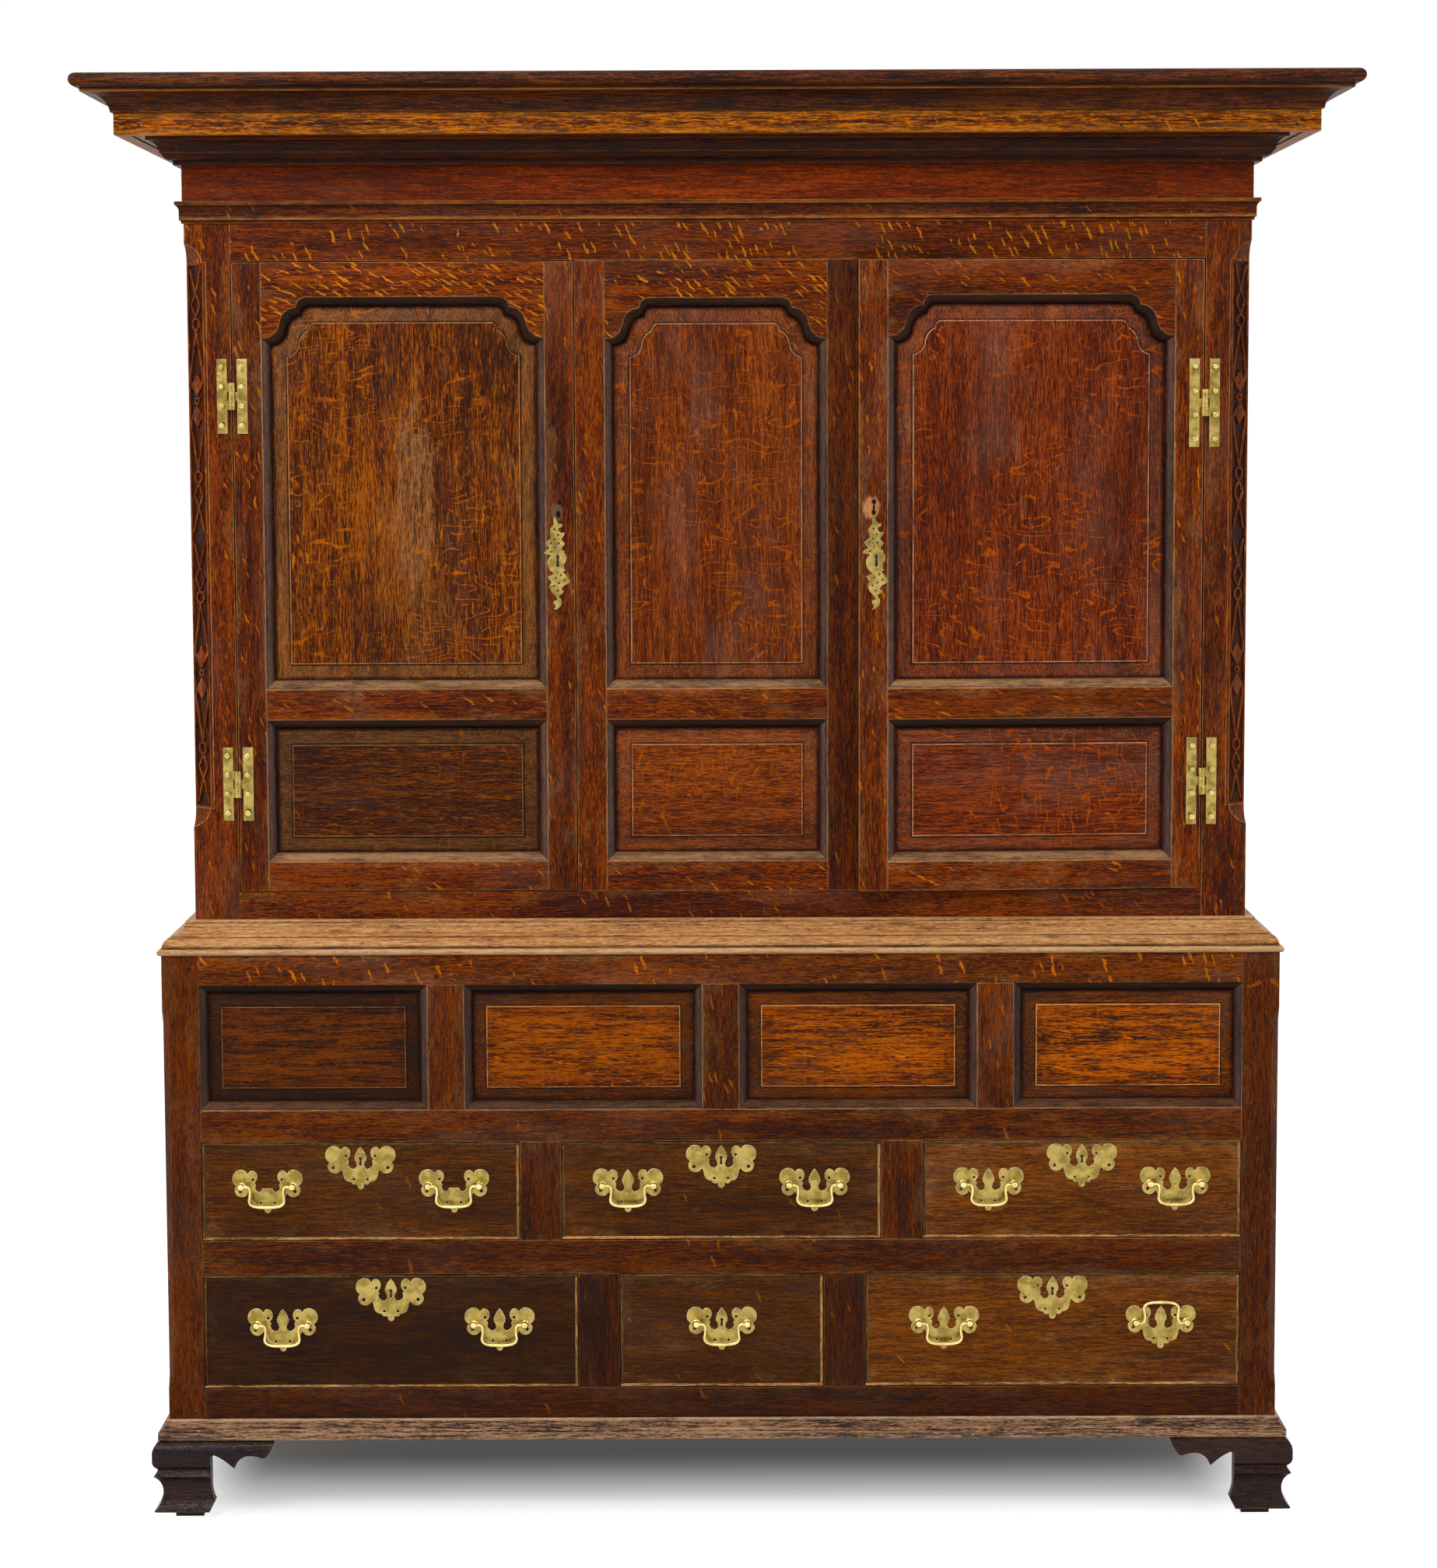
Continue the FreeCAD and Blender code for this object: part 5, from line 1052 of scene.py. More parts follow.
def case_side_panels():
    parts = []
    for number, solid in enumerate(solids_of("side_panels")):
        low, high = extent(solid)
        front, sign = (low.x / MM - 5.5, 1) if low.x < 0 else (high.x / MM + 5.5, -1)
        opening = ((low.y / MM, low.z / MM), (high.y / MM, high.z / MM), front, SIDE_FIELD, False)
        grain = UPRIGHT if high.z - low.z > high.y - low.y else 1
        parts.append(fielded_panel(*opening, grain, "side" + str(number), sign=sign, axis=0, sink=5.5))
    piece("side_panels_oak", parts, LOW_PANEL_OAK, "side_panels")


# ---- Boards of the two cases -------------------------------------------------------
UPRIGHTS = ("upper_posts", "upper_rails", "centre_frame", "side_rails", "lower_posts", "lower_rails",
            "lower_muntins", "frieze")
CARCASE = boxes_of(UPRIGHTS + ("architrave_moulding", "waist_moulding", "base_moulding"))
RAW_NODES = ("cornice_boards", "back_boards", "cupboard_boards", "shelves", "shelf_bearers",
             "drawer_runners")
CANT_SHADE = -1.0
TALL = 0.3
CORNICE_NAILS = (
    ("crown_moulding", ((-0.789, 1.966), (-0.5465, 1.965), (0.751, 1.968))),
    ("cornice_fascia", ((-0.786, 1.947), (-0.5316, 1.946), (0.5486, 1.944), (0.787, 1.944))),
    ("bed_moulding", ((-0.742, 1.924), (-0.589, 1.902), (0.694, 1.911), (0.6915, 1.903))),
    ("architrave_moulding", ((-0.741, 1.8195), (-0.5115, 1.8185), (0.634, 1.8155), (0.751, 1.8175))),
)


def cornice_nails():
    places = []
    for node, spots in CORNICE_NAILS:
        mesh = bpy.data.objects[node + "_run"].data
        tree = BVHTree.FromPolygons([v.co for v in mesh.vertices], [p.vertices[:] for p in mesh.polygons])
        for x, z in spots:
            place = tree.ray_cast(Vector((x, -1.0, z)), Vector((0, 1, 0)))[0]
            if place is not None:
                places.append(place + Vector((0, -0.1 * MM, 0)))
    nails("cornice_nails", places, *CORNICE_NAIL, IRON, BODY_OF["crown_moulding"])


def only(number):
    """The second timber for one board of a node, the first for the others."""
    return lambda n: int(n == number)


def carcase():
    joinery("upper_posts", CARCASE_OAK, near=CARCASE)
    joinery("frieze", [FRIEZE_OAK, RAW_OAK], near=CARCASE, of=only(4))
    joinery("upper_rails", [CARCASE_OAK, TOP_RAIL_OAK], near=CARCASE, of=only(1))
    # Painted shadow: the centre frame's right stile is 0.4 darker, as if shaded by the ajar right door.
    joinery("centre_frame", [CARCASE_OAK, DOOR_RAIL_OAK], (0.6, 0.25), near=CARCASE, of=only(4),
            tones=lambda n, low, high: -0.4 * (n == 1))
    feet = [extent(solid)[0].z for solid in solids_of("lower_rails")]
    for node, timber, of in (
        ("side_rails", CARCASE_OAK, None), ("lower_posts", LOW_POST_OAK, None),
        ("lower_rails", [LOW_OAK, LOW_TOP_RAIL_OAK], lambda n: int(feet[n] > max(feet) - MM)),
        ("lower_muntins", LOW_POST_OAK, None),
    ):
        joinery(node, timber, (1.25, 0.25), near=CARCASE, of=of, tones=low_tone)
    for side, flecked in (("left", 4), ("right", None)):
        joinery(side + "_door_frame", [DOOR_OAK, DOOR_RAIL_OAK], (0.55, 0.25), of=only(flecked))
    joinery("blind_fretwork", CARCASE_OAK, arris=0.35 * MM, tones=lambda n, low, high: 0.35)
    joinery("joint_pegs", MOULDING_OAK, arris=0.5 * MM)
    joinery("bracket_feet", FOOT_OAK)
    for node in RAW_NODES:
        joinery(node, RAW_OAK)
    cant_faces("upper_posts_oak")


def low_tone(number, low, high):
    """The lower a rail of the lower case, the darker it is."""
    if high.z > LOWER_TOP + MM or high.z - low.z > TALL:
        return 0.0
    return max(-0.6, 1.6 * ((low.z + high.z) / 2 - 0.54))


def cant_faces(name):
    """Darkens the canted ground behind the fretwork."""
    mesh = bpy.data.objects[name].data
    low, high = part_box("blind_fretwork")
    for polygon in mesh.polygons:
        normal, place = polygon.normal, polygon.center
        if abs(abs(normal.x) - abs(normal.y)) < 0.1 and normal.y < -0.5 and low.z < place.z < high.z:
            mesh.attributes["rim"].data[polygon.index].value = CANT_SHADE


# ---- Brasses -----------------------------------------------------------------------
def around(count):
    """Evenly spaced turns, each as its cosine and sine."""
    turns = [2 * math.pi * n / count for n in range(count)]
    return [(math.cos(a), math.sin(a)) for a in turns]


def circle_edge(centre, radius, count=10):
    return [Vector(centre) + radius * Vector(way) for way in around(count)]


def lozenge_edge(centre, half):
    return [Vector(centre) + half * Vector(way) for way in ((1, 0), (0, 1.15), (-1, 0), (0, -1.15))]


EYE_TURNS = (-0.9, -0.2, 0.5, 1.2, 1.94, 2.64, 3.34, 4.04)


def keyhole_edge(centre, eye, slot, drop):
    """A keyhole: a round eye over a tapering slot with a round foot."""
    points = [Vector((eye * math.cos(a), eye * math.sin(a))) for a in EYE_TURNS]
    foot = slot * 1.35
    points += [Vector((-slot, -drop * 0.5)), Vector((-foot, -drop)), Vector((0, -drop - foot * 0.8))]
    points += [Vector((foot, -drop)), Vector((slot, -drop * 0.5))]
    return [Vector(centre) + p for p in points]


def grown(thing):
    """What an object's settings and modifiers make of it, as a mesh."""
    bpy.context.view_layer.update()
    mesh = bpy.data.meshes.new_from_object(thing.evaluated_get(bpy.context.evaluated_depsgraph_get()))
    bpy.data.objects.remove(thing)
    return mesh


def pierced(loops, front, back, rim=0.6 * MM, corner=52):
    """A plate cut to smooth outlines, with its front and back edges rounded. Corners
    sharper than the angle corner stay sharp."""
    outline = bpy.data.curves.new("outline", "CURVE")
    outline.dimensions = "2D"
    outline.fill_mode = "BOTH"
    outline.resolution_u = 4
    rim = min(rim, (back - front) * 0.4)
    outline.extrude = (back - front) / 2 - rim
    outline.bevel_depth = rim
    outline.bevel_resolution = 2
    outline.offset = -rim
    for loop in loops:
        spline = outline.splines.new("BEZIER")
        spline.bezier_points.add(len(loop) - 1)
        spline.use_cyclic_u = True
        for n, (knot, place) in enumerate(zip(spline.bezier_points, loop)):
            before, after = place - loop[n - 1], loop[(n + 1) % len(loop)] - place
            knot.co = (place.x, place.y, 0)
            sharp = before.angle(after, 0) > math.radians(corner)
            knot.handle_left_type = knot.handle_right_type = "VECTOR" if sharp else "AUTO"
    mesh = grown(stand("outline", outline))
    form = bmesh.new()
    form.from_mesh(mesh)
    bpy.data.meshes.remove(mesh)
    bmesh.ops.remove_doubles(form, verts=form.verts, dist=0.01 * MM)
    bmesh.ops.recalc_face_normals(form, faces=form.faces)
    # Edges are marked as rims for the brass's painted highlight.
    layer = form.faces.layers.float.new("rim")
    for face in form.faces:
        face[layer] = 0.0 if abs(face.normal.z) > 0.95 else 1.0
    mesh = mesh_of(form, "plate")
    upright = Matrix.Rotation(math.radians(90), 4, "X")
    mesh.transform(Matrix.Translation((0, (front + back) / 2, 0)) @ upright)
    return mesh


def turned(profile, centre, count=16):
    """A turned piece that stands forwards of (x, y, z). profile is (forwards, radius)."""
    rings = []
    for forwards, radius in profile:
        rings.append([centre + Vector((radius * x, -forwards, radius * z)) for x, z in around(count)])
    return skin(rings, flip=True)


POST_COLLAR = ((0, 4.6), (0.7, 4.8), (1.3, 4.4), (2.0, 3.0), (2.8, 2.6))


def post_profile(stand, bulb):
    """A handle post: collar, waist and ball."""
    profile = [(f * MM, r * MM) for f, r in POST_COLLAR]
    middle = stand - bulb
    for n in range(1, 9):
        a = math.pi * (0.2 + 0.8 * n / 8)
        profile.append((middle - bulb * math.cos(a), max(0.25 * MM, bulb * math.sin(a))))
    return profile


BAIL_PATH = (
    (27, 0.2), (24.6, -1.6), (23.4, -5), (23.2, -9.5), (23.9, -15), (24.6, -19.5), (23.4, -23.6),
    (19.4, -26.8), (13, -28.4), (6, -28.9), (0, -29),
)
BAIL_BORE = (
    (0, 2.3), (0.12, 2), (0.3, 1.75), (0.5, 1.8), (0.72, 2.1), (0.88, 2.35), (1, 2.45),
)


def bail_mesh(body):
    """A swan-necked bail: a wire that swells in the middle, hung between its balls."""
    x, y, z = JOINTS[body]["pos_m"]
    low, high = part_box(body)
    half = [Vector(p) for p in ((((high.x - low.x) / 2 / MM) - 2.2, 0.0), *BAIL_PATH)]
    smooth = []
    for n in range(len(half) - 1):
        a, b, c, d = (half[min(max(k, 0), len(half) - 1)] for k in (n - 1, n, n + 1, n + 2))
        for t in (0, 1 / 3, 2 / 3):
            smooth.append(0.5 * (2 * b + (c - a) * t + (2 * a - 5 * b + 4 * c - d) * t * t
                                 + (3 * b - a - 3 * c + d) * t * t * t))
    smooth.append(half[-1])
    path = smooth + mirrored(smooth[:-1])
    rings = []
    last = len(path) - 1
    for n, place in enumerate(path):
        radius = float(np.interp(1 - abs(2 * n / last - 1), *zip(*BAIL_BORE)))
        heading = (path[min(n + 1, last)] - path[max(n - 1, 0)]).normalized()
        ring = []
        for across, forwards in around(12):
            side, out = radius * across, radius * 0.94 * forwards
            ring.append(Vector((x + (place.x - heading.y * side) * MM, y - out * MM,
                                z + (place.y + heading.x * side) * MM)))
        rings.append(ring)
    return skin(rings, flip=True)


PLATE_WING = (
    (12.2, -9.6), (15.8, -7), (17.3, -3.4), (16.4, 0.4), (18.3, 3.6), (15.4, 7), (14.2, 12.4),
    (16.2, 18.4), (20, 21), (24.2, 20.4), (27.6, 16.6), (31, 20.8), (36.5, 22.4), (42.5, 21),
    (47.4, 16.4), (49.4, 9.6), (48, 3.2), (43.6, -1), (46, -4.6), (45.6, -10), (42, -14.8), (36, -16.8),
    (30.4, -14.8), (27.4, -11.2), (25.4, -14), (24, -20), (21.6, -25.6), (17.6, -28.2), (12.8, -29.2),
    (11.6, -31.8), (7.6, -32.8), (4.6, -31.6), (4.6, -35.2), (3, -38.4), (0, -39.6),
)
SPIRE = (
    (0, 21.8), (2.2, 18.6), (4, 17.2), (4.4, 15.2), (6, 13.6), (6, 11.6), (7.6, 10), (7.4, 8), (8.8, 6.2),
    (7.8, 4.2), (8.4, 2.2), (6.6, 0.6), (5.8, -2), (5.2, -5.4), (6.8, -8.6), (9.4, -10.2),
)
PLAIN_TOP = ((0.0, -4.2), (7.4, -4.2), (8.6, -7.4))
PLATE_HOLES = ((20.4, 8.2, 2.1), (38.4, -8.6, 2.6), (9.6, -25.2, 2.0))
PLATE_FINIAL_HOLE = (0.0, -34.6, 0.9)
PLATE_FOOT = 40.0
PLAIN_HANDLES = "upper_drawer_left"
# By these spans a plate, a post and a hinge strip are told from the other solids.
PLATE_THICK, PLATE_SPAN, POST_SPAN = 3 * MM, 60 * MM, 14 * MM
STRIP_TALL, STRIP_WIDE = 90 * MM, 12 * MM
# From a plate's foot and middle: its keyhole and its two pins.
KEYHOLE_UP, PIN_UP, PIN_ASIDE = 41.5 * MM, 42.5 * MM, 34 * MM
PROUD = 0.02 * MM
# Nails: from a strip's edge and end, their places between, and radius and rise.
NAIL_IN, NAIL_DOWN = 7 * MM, 11 * MM
NAIL_PLACES = (-1, -0.33, 0.33, 1)
HINGE_NAIL = (3.4 * MM, 0.5 * MM)
CORNICE_NAIL = (2.6 * MM, 0.8 * MM)


def plate_edge(spired):
    """The outline of a winged plate in millimetres, round from its top."""
    half = [Vector(p) for p in (SPIRE if spired else PLAIN_TOP) + PLATE_WING]
    return half + mirrored(half[1:-1])


ESCUTCHEON_EDGE = (
    (-4.1, 60.3), (-2, 57.4), (0.2, 53.5), (2.5, 50.6), (6.1, 50.8), (7, 49), (5.2, 46.3), (2.2, 45.4),
    (1.6, 42.7), (3.4, 40), (6.1, 38.5), (10.3, 39.4), (8.8, 35.5), (6.1, 31.5), (4.9, 29.7), (7, 27.4),
    (10.3, 24.3), (7.9, 21.1), (5.2, 18.4), (7, 15.3), (9.9, 14.2), (8.8, 12.1), (11, 9.4), (12.4, 4.9),
    (11, -0.5), (8.8, -4.1), (8.5, -7.7), (8.8, -9.9), (11, -12.2), (7, -13.5), (8.3, -15.3),
    (12.4, -20.3), (16.9, -27.9), (13.3, -30.2), (8.8, -32), (6.1, -34.7), (4.9, -36.9), (6.3, -39.1),
    (8.1, -40.1), (6.1, -42.8), (2.5, -45.5), (1.1, -47.3), (3.4, -49.5), (4.9, -53.6), (3.8, -59),
    (0.7, -62.6), (-4.1, -65), (-5.6, -64.4), (-3.1, -61.4), (-3.2, -59.2), (-5.6, -57.2), (-6.3, -54.9),
    (-4.9, -52.7), (-1.6, -52.4), (-1.3, -50.2), (-2.9, -47.3), (-7, -42.8), (-10.1, -38.7),
    (-11.7, -33.8), (-10.6, -30.2), (-8.3, -28.4), (-11, -24.8), (-13.7, -20.7), (-11, -19.4),
    (-7, -17.6), (-5.9, -15.8), (-9.2, -13.1), (-11.9, -9.5), (-14.2, -3.2), (-13.7, 2.2), (-11, 5.8),
    (-8.5, 7.6), (-11, 9.4), (-15.5, 9.9), (-19.1, 11.7), (-15.5, 14.8), (-11, 17.5), (-14.2, 21.1),
    (-17.3, 24.7), (-12.8, 28.3), (-8.5, 32.2), (-9.2, 35.5), (-10.1, 40.9), (-9.2, 45.4), (-6.5, 48.1),
    (-5.2, 50.8), (-5.6, 55.3), (-4.9, 58.9),
)
ESCUTCHEON_LATTICE = (
    (0.7, 36), (-4.3, 30.1), (-9.2, 24.7), (1.6, 24.7), (-3.4, 18.9), (-8.5, 13.1), (4.3, -18),
    (-3.1, -22.1), (8.6, -25), (1.6, -28.8), (-5.2, -32.9), (-0.4, -39.6), (-4, 43.2),
)


def handle_plate(solid, keyed, spired):
    """A winged plate: its outline and its piercings."""
    low, high = extent(solid)
    middle = Vector(((low.x + high.x) / 2, low.z + PLATE_FOOT * MM))
    loops = [[middle + p * MM for p in plate_edge(spired)]]
    if keyed:
        loops.append(keyhole_edge(middle + Vector((0, 4.0)) * MM, 2.5 * MM, 1.5 * MM, 8.6 * MM))
    for a, b, r in PLATE_HOLES:
        loops += [circle_edge(middle + Vector((s * a, b)) * MM, r * MM) for s in (-1, 1)]
    a, b, r = PLATE_FINIAL_HOLE
    loops.append(circle_edge(middle + Vector((a, b)) * MM, r * MM, 8))
    return pierced(loops, low.y, high.y)


def size_of(solid):
    low, high = extent(solid)
    return high - low


DOME = ((0, 1), (0.35, 0.97), (0.7, 0.75), (0.92, 0.4), (1, 0.1))
SHADE_STEPS = ((0, 0), (0.05, 0.1), (0.1, -0.1))


def pin_profile(radius, rise):
    """A domed nail head."""
    return [(rise * up, radius * out) for up, out in DOME]


def keyhole_shade(place, radius):
    """The dark behind a keyhole."""
    return turned([(f * MM, (radius + more) * MM) for f, more in SHADE_STEPS], place, 14)


def drawer_brasses(name):
    """A drawer's plates, posts and lock. A plate without posts is an escutcheon."""
    node = name + "_brasses"
    parts, keyholes = [], []
    plates = [s for s in solids_of(node) if size_of(s).y < PLATE_THICK and size_of(s).x > PLATE_SPAN]
    posts = [s for s in solids_of(node) if size_of(s).x < POST_SPAN and size_of(s).z < POST_SPAN]
    front = min(extent(s)[0].y for s in plates)
    for solid in plates:
        low, high = extent(solid)
        x = (low.x + high.x) / 2
        own = [p for p in posts if low.x < extent(p)[0].x < high.x]
        keyed = not own or "lower_drawer_middle" in name
        parts.append(handle_plate(solid, keyed, not own or name != PLAIN_HANDLES))
        if keyed:
            keyholes.append(keyhole_shade(Vector((x, high.y - PROUD, low.z + KEYHOLE_UP)), 5.5))
        if not own:
            pins = [Vector((x + s * PIN_ASIDE, front, low.z + PIN_UP)) for s in (-1, 1)]
            parts += [turned(pin_profile(1.3 * MM, 0.8 * MM), pin, 10) for pin in pins]
    for solid in posts:
        low, high = extent(solid)
        centre = Vector(((low.x + high.x) / 2, front + 0.1 * MM, (low.z + high.z) / 2))
        bulb = min(high.x - low.x, high.z - low.z) / 2
        post = turned(post_profile(centre.y - low.y, bulb), centre)
        post.polygons.foreach_set("material_index", [1] * len(post.polygons))
        parts.append(post)
    parts += [eased(s, 0.4 * MM) for s in solids_of(node) if s not in plates and s not in posts]
    piece(node + "_metal", parts, [BRASS, LIT_BAIL_BRASS], node)
    if keyholes:
        piece(name + "_keyhole_shade", keyholes, IRON, body=name)


def door_escutcheon(solid):
    """A long pierced escutcheon: stepped lattice above and below a keyhole."""
    low, high = extent(solid)
    edge = [Vector(p) for p in ESCUTCHEON_EDGE]
    least = Vector((min(p.x for p in edge), min(p.y for p in edge)))
    most = Vector((max(p.x for p in edge), max(p.y for p in edge)))
    across, up = (high.x - low.x) / (most.x - least.x), (high.z - low.z) / (most.y - least.y)

    def placed(p):
        return Vector((low.x + (p[0] - least.x) * across, low.z + (p[1] - least.y) * up))

    loops = [[placed(p) for p in edge], keyhole_edge(placed((0, 6.4)), 2.8 * MM, 1.9 * MM, 13.0 * MM)]
    loops += [lozenge_edge(placed(p), 1.9 * MM) for p in ESCUTCHEON_LATTICE]
    return pierced(loops, low.y, high.y, 0.4 * MM, 40)


def door_brasses(side):
    """A door's escutcheon and hinge leaves. Gives the place of its keyhole."""
    node = side + "_door_brasses"
    parts = []
    for solid in shut_solids(node):
        size = size_of(solid)
        low, high = extent(solid)
        if size.z > STRIP_TALL and size.y < 4 * MM and abs((low.x + high.x) / 2) < 0.4:
            parts.append(door_escutcheon(solid))
            foot = Vector((low.x + 0.52 * size.x, low.y, low.z + 0.075 * size.z))
            parts.append(turned(pin_profile(2.0 * MM, 1.1 * MM), foot, 12))
            keyhole = Vector((low.x + 0.53 * size.x, high.y - PROUD, low.z + 0.52 * size.z))
        else:
            parts.append(eased(solid, 1.1 * MM))
    piece(node + "_metal", parts, BRASS, node)
    return keyhole


def leaf_nails(node):
    """Where the nails of a node's hinge leaves stand: four to each strip."""
    places = []
    for solid in shut_solids(node):
        low, high = extent(solid)
        if high.z - low.z > STRIP_TALL and high.x - low.x > STRIP_WIDE and abs(low.x) > 0.5:
            axis = math.copysign(JOINTS["right_door"]["pos_m"][0], low.x)
            x = low.x + NAIL_IN if (low.x + high.x) / 2 < axis else high.x - NAIL_IN
            middle, reach = (low.z + high.z) / 2, (high.z - low.z) / 2 - NAIL_DOWN
            places += [Vector((x, low.y, middle + reach * n)) for n in NAIL_PLACES]
    return places


def nail_tree():
    """Sets a domed nail head on each point, a little larger or smaller each time."""
    tree = bpy.data.node_groups.new("nail_heads", "GeometryNodeTree")
    sockets = {}
    kinds = {"Places": "Geometry", "Radius": "Float", "Rise": "Float", "Metal": "Material"}
    for label, kind in kinds.items():
        socket = tree.interface.new_socket(name=label, in_out="INPUT", socket_type="NodeSocket" + kind)
        sockets[label] = socket.identifier
    tree.interface.new_socket(name="Nails", in_out="OUTPUT", socket_type="NodeSocketGeometry")
    web = Web(tree)
    given = web.add("NodeGroupInput").outputs
    ball = web.out("GeometryNodeMeshUVSphere", {"Segments": 12, "Rings": 8, "Radius": given["Radius"]})
    squash = Flow(web, given["Rise"]).reckon("DIVIDE", given["Radius"])
    scale = web.out("ShaderNodeCombineXYZ", {0: 1.0, 1: squash, 2: 1.0})
    flat = web.out("GeometryNodeTransform", {"Geometry": ball, "Scale": scale})
    vary = web.out("FunctionNodeRandomValue", {2: 0.88, 3: 1.1, "Seed": 7}, 1, data_type="FLOAT")
    heads = {"Points": given["Places"], "Instance": flat, "Scale": vary}
    spread = web.out("GeometryNodeInstanceOnPoints", heads)
    real = web.out("GeometryNodeRealizeInstances", {"Geometry": spread})
    dressed = web.out("GeometryNodeSetMaterial", {"Geometry": real, "Material": given["Metal"]})
    web.add("NodeGroupOutput", {0: dressed})
    return tree, sockets


NAIL_TREE, NAIL_SOCKETS = nail_tree()


def nails(name, places, radius, rise, metal, body):
    """Nail heads at places, as one mesh that rides on a body."""
    points = bpy.data.meshes.new("places")
    points.from_pydata(places, [], [])
    thing = stand("places", points)
    growth = thing.modifiers.new("nails", "NODES")
    growth.node_group = NAIL_TREE
    for label, value in (("Radius", radius), ("Rise", rise), ("Metal", metal)):
        growth[NAIL_SOCKETS[label]] = value
    piece(name, grown(thing), metal, body=body)


def hinge_nails(name, node):
    nails(name, leaf_nails(node), *HINGE_NAIL, LIT_NAIL_BRASS, BODY_OF[node])


def metal(node, material, arris=0.4 * MM):
    piece(node + "_metal", [eased(solid, arris) for solid in shut_solids(node)], material, node)


# ---- Drawers -----------------------------------------------------------------------
DRAWERS = [name for name in BODIES if "drawer" in name and "bail" not in name]
DRAWER_TONE = {
    "upper_drawer_left": 0.4, "upper_drawer_middle": 0.45, "upper_drawer_right": 1.6,
    "lower_drawer_left": -0.4, "lower_drawer_middle": 0.3, "lower_drawer_right": 1.6,
}
# Painted light on the cock beads by number: bottom and right lit, top and left shaded.
BEAD_LIGHT_AND_SHADE = {1: 0.9, 2: -0.45, 3: -0.45, 4: 0.6}


def drawers():
    for name in DRAWERS:
        tones = {0: DRAWER_TONE[name], **BEAD_LIGHT_AND_SHADE}
        joinery(
            name, [DRAWER_OAK, LIT_BEAD_OAK, RAW_OAK], figures=(1.0, 0.2), spread=0.05,
            of=lambda n: 0 if n == 0 else 1 if n < 5 else 2, tones=lambda n, low, high: tones.get(n, 0.0),
        )
        drawer_brasses(name)
    for body in BODIES:
        if "bail" in body:
            piece(body + "_wire", bail_mesh(body), LIT_BAIL_BRASS, body)


def hinges_and_locks():
    metal("fixed_hinge_leaves", BRASS, 1.1 * MM)
    hinge_nails("fixed_leaf_nails", "fixed_hinge_leaves")
    for side in ("left", "right"):
        keyhole = door_brasses(side)
        hinge_nails(side + "_leaf_nails", side + "_door_brasses")
        piece(side + "_keyhole_shade", keyhole_shade(keyhole, 7.5), IRON, body=side + "_door")
        metal(side + "_door_lock", IRON)


mouldings()
front_panels("left_door_panels", LEFT_PANEL_OAK, UPPER_FIELD, heads=True)
front_panels("right_door_panels", RIGHT_PANEL_OAK, UPPER_FIELD, heads=True)
front_panels("centre_panels", CENTRE_PANEL_OAK, UPPER_FIELD, heads=True)
front_panels("lower_panels", LOW_PANEL_OAK, LOWER_FIELD)
case_side_panels()
carcase()
drawers()
hinges_and_locks()
cornice_nails()


# ---- Floor, light and camera -------------------------------------------------------
# Metres: half the floor's side, how far its painted shadow takes to fade, and how far from
# the back's foot the fading starts. Then how bright the room is where it isn't seen.
FLOOR_REACH = 30.0
SHADOW_REACH = 0.46
SHADE_DEPTH = 0.23
ROOM_AHEAD = 0.12
ROOM_ABOVE = 0.34
# Where the eye stands, how it is turned, and its lens in millimetres.
EYE = (0, LOWER_FRONT - 5.081, 1.532)
GAZE = (math.radians(84.5), math.radians(0.21), 0)
LENS, LENS_SPAN = 84.2, 36.0


def seen_rays(web):
    """1 on the rays that see the white room: straight, in a gleam or through a pane."""
    rays = ("Is Camera Ray", "Is Glossy Ray", "Is Transmission Ray")
    straight, gleam, through = (web.out("ShaderNodeLightPath", (), ray) for ray in rays)
    return straight.most(gleam).most(through)


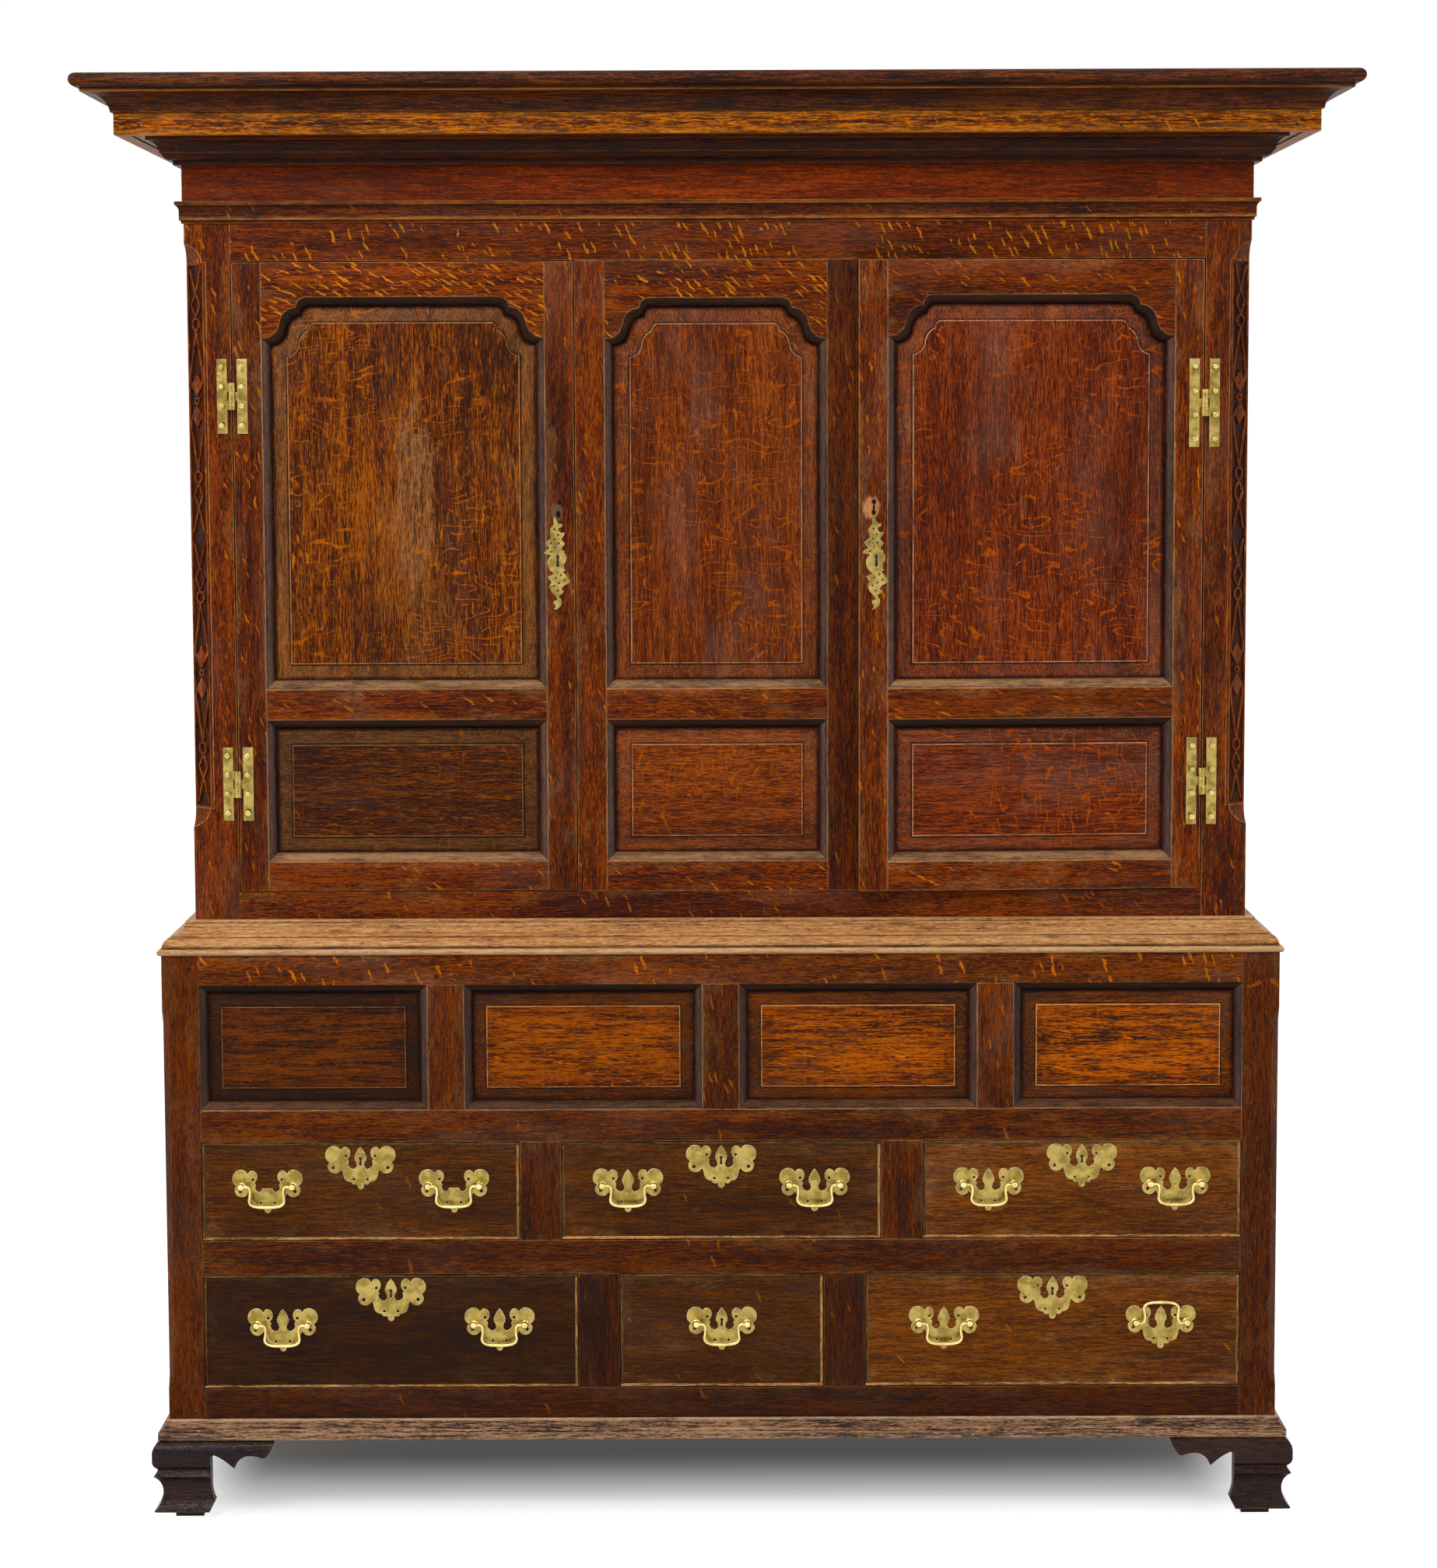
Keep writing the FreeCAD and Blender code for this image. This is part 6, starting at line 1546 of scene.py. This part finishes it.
def floor():
    """A pale floor that glows where it is seen, and less near the press: a painted shadow there, on top of the one
    the press casts.
    """
    mesh = bpy.data.meshes.new("floor")
    r = FLOOR_REACH
    mesh.from_pydata([(-r, -r, 0), (r, -r, 0), (r, r, 0), (-r, r, 0)], [], [(0, 1, 2, 3)])
    material, web, _ = new_material("pale_floor")
    ground = web.out("ShaderNodeBsdfPrincipled", {
        "Base Color": (0.42, 0.42, 0.42, 1), "Roughness": 0.9, "Specular IOR Level": 0.0,
    })
    away = (web.object_place() - (0, BACK, 0)).reckon("ABSOLUTE") - (LOWER_HALF - 0.11, SHADE_DEPTH, 0)
    away = away.most((0, 0, 0)) * (2.6, 1, 0)
    glow = away.length().ramp(0.0, SHADOW_REACH, 0.07, 1.0)
    lift = web.out("ShaderNodeEmission", {"Color": (1, 1, 1, 1), "Strength": seen_rays(web) * glow})
    web.add("ShaderNodeOutputMaterial", {"Surface": web.out("ShaderNodeAddShader", {0: ground, 1: lift})})
    mesh.materials.append(material)
    stand("floor", mesh)


def room():
    """A pale room: white where it is seen, brighter overhead than ahead."""
    world = bpy.data.worlds.new("studio")
    bpy.context.scene.world = world
    world.use_nodes = True
    web = Web(world.node_tree)
    world.node_tree.nodes.clear()
    height = web.out("ShaderNodeTexCoord", (), "Generated").parts()[2]
    light = {0: seen_rays(web), 2: height.ramp(0.0, 0.8, ROOM_AHEAD, ROOM_ABOVE), 3: 1.0}
    strength = web.out("ShaderNodeMix", light, data_type="FLOAT")
    background = web.out("ShaderNodeBackground", {"Color": (1, 1, 1, 1), "Strength": strength})
    web.add("ShaderNodeOutputWorld", {"Surface": background})


def softbox(name, place, aim, size, power):
    lamp = bpy.data.lights.new(name, "AREA")
    lamp.shape = "RECTANGLE"
    lamp.size, lamp.size_y = size
    lamp.energy = power
    thing = stand(name, lamp)
    thing.location = place
    thing.rotation_euler = (Vector(aim) - Vector(place)).to_track_quat("-Z", "Y").to_euler()


def camera():
    lens = bpy.data.cameras.new("camera")
    lens.lens = LENS
    lens.sensor_width = LENS_SPAN
    lens.sensor_fit = "AUTO"
    thing = stand("camera", lens)
    thing.location = EYE
    thing.rotation_euler = Euler(GAZE)
    bpy.context.scene.camera = thing


floor()
room()
softbox("key", (-1.4, -4.0, 4.4), (0, 0, 1.0), (1.7, 1.2), 112)
for side, name in ((-1, "left_strip"), (1, "right_strip")):
    softbox(name, (side * 3.4, -2.0, 1.7), (0, -0.2, 1.0), (0.7, 2.6), 27)
camera()
bpy.context.scene.view_settings.view_transform = "Standard"
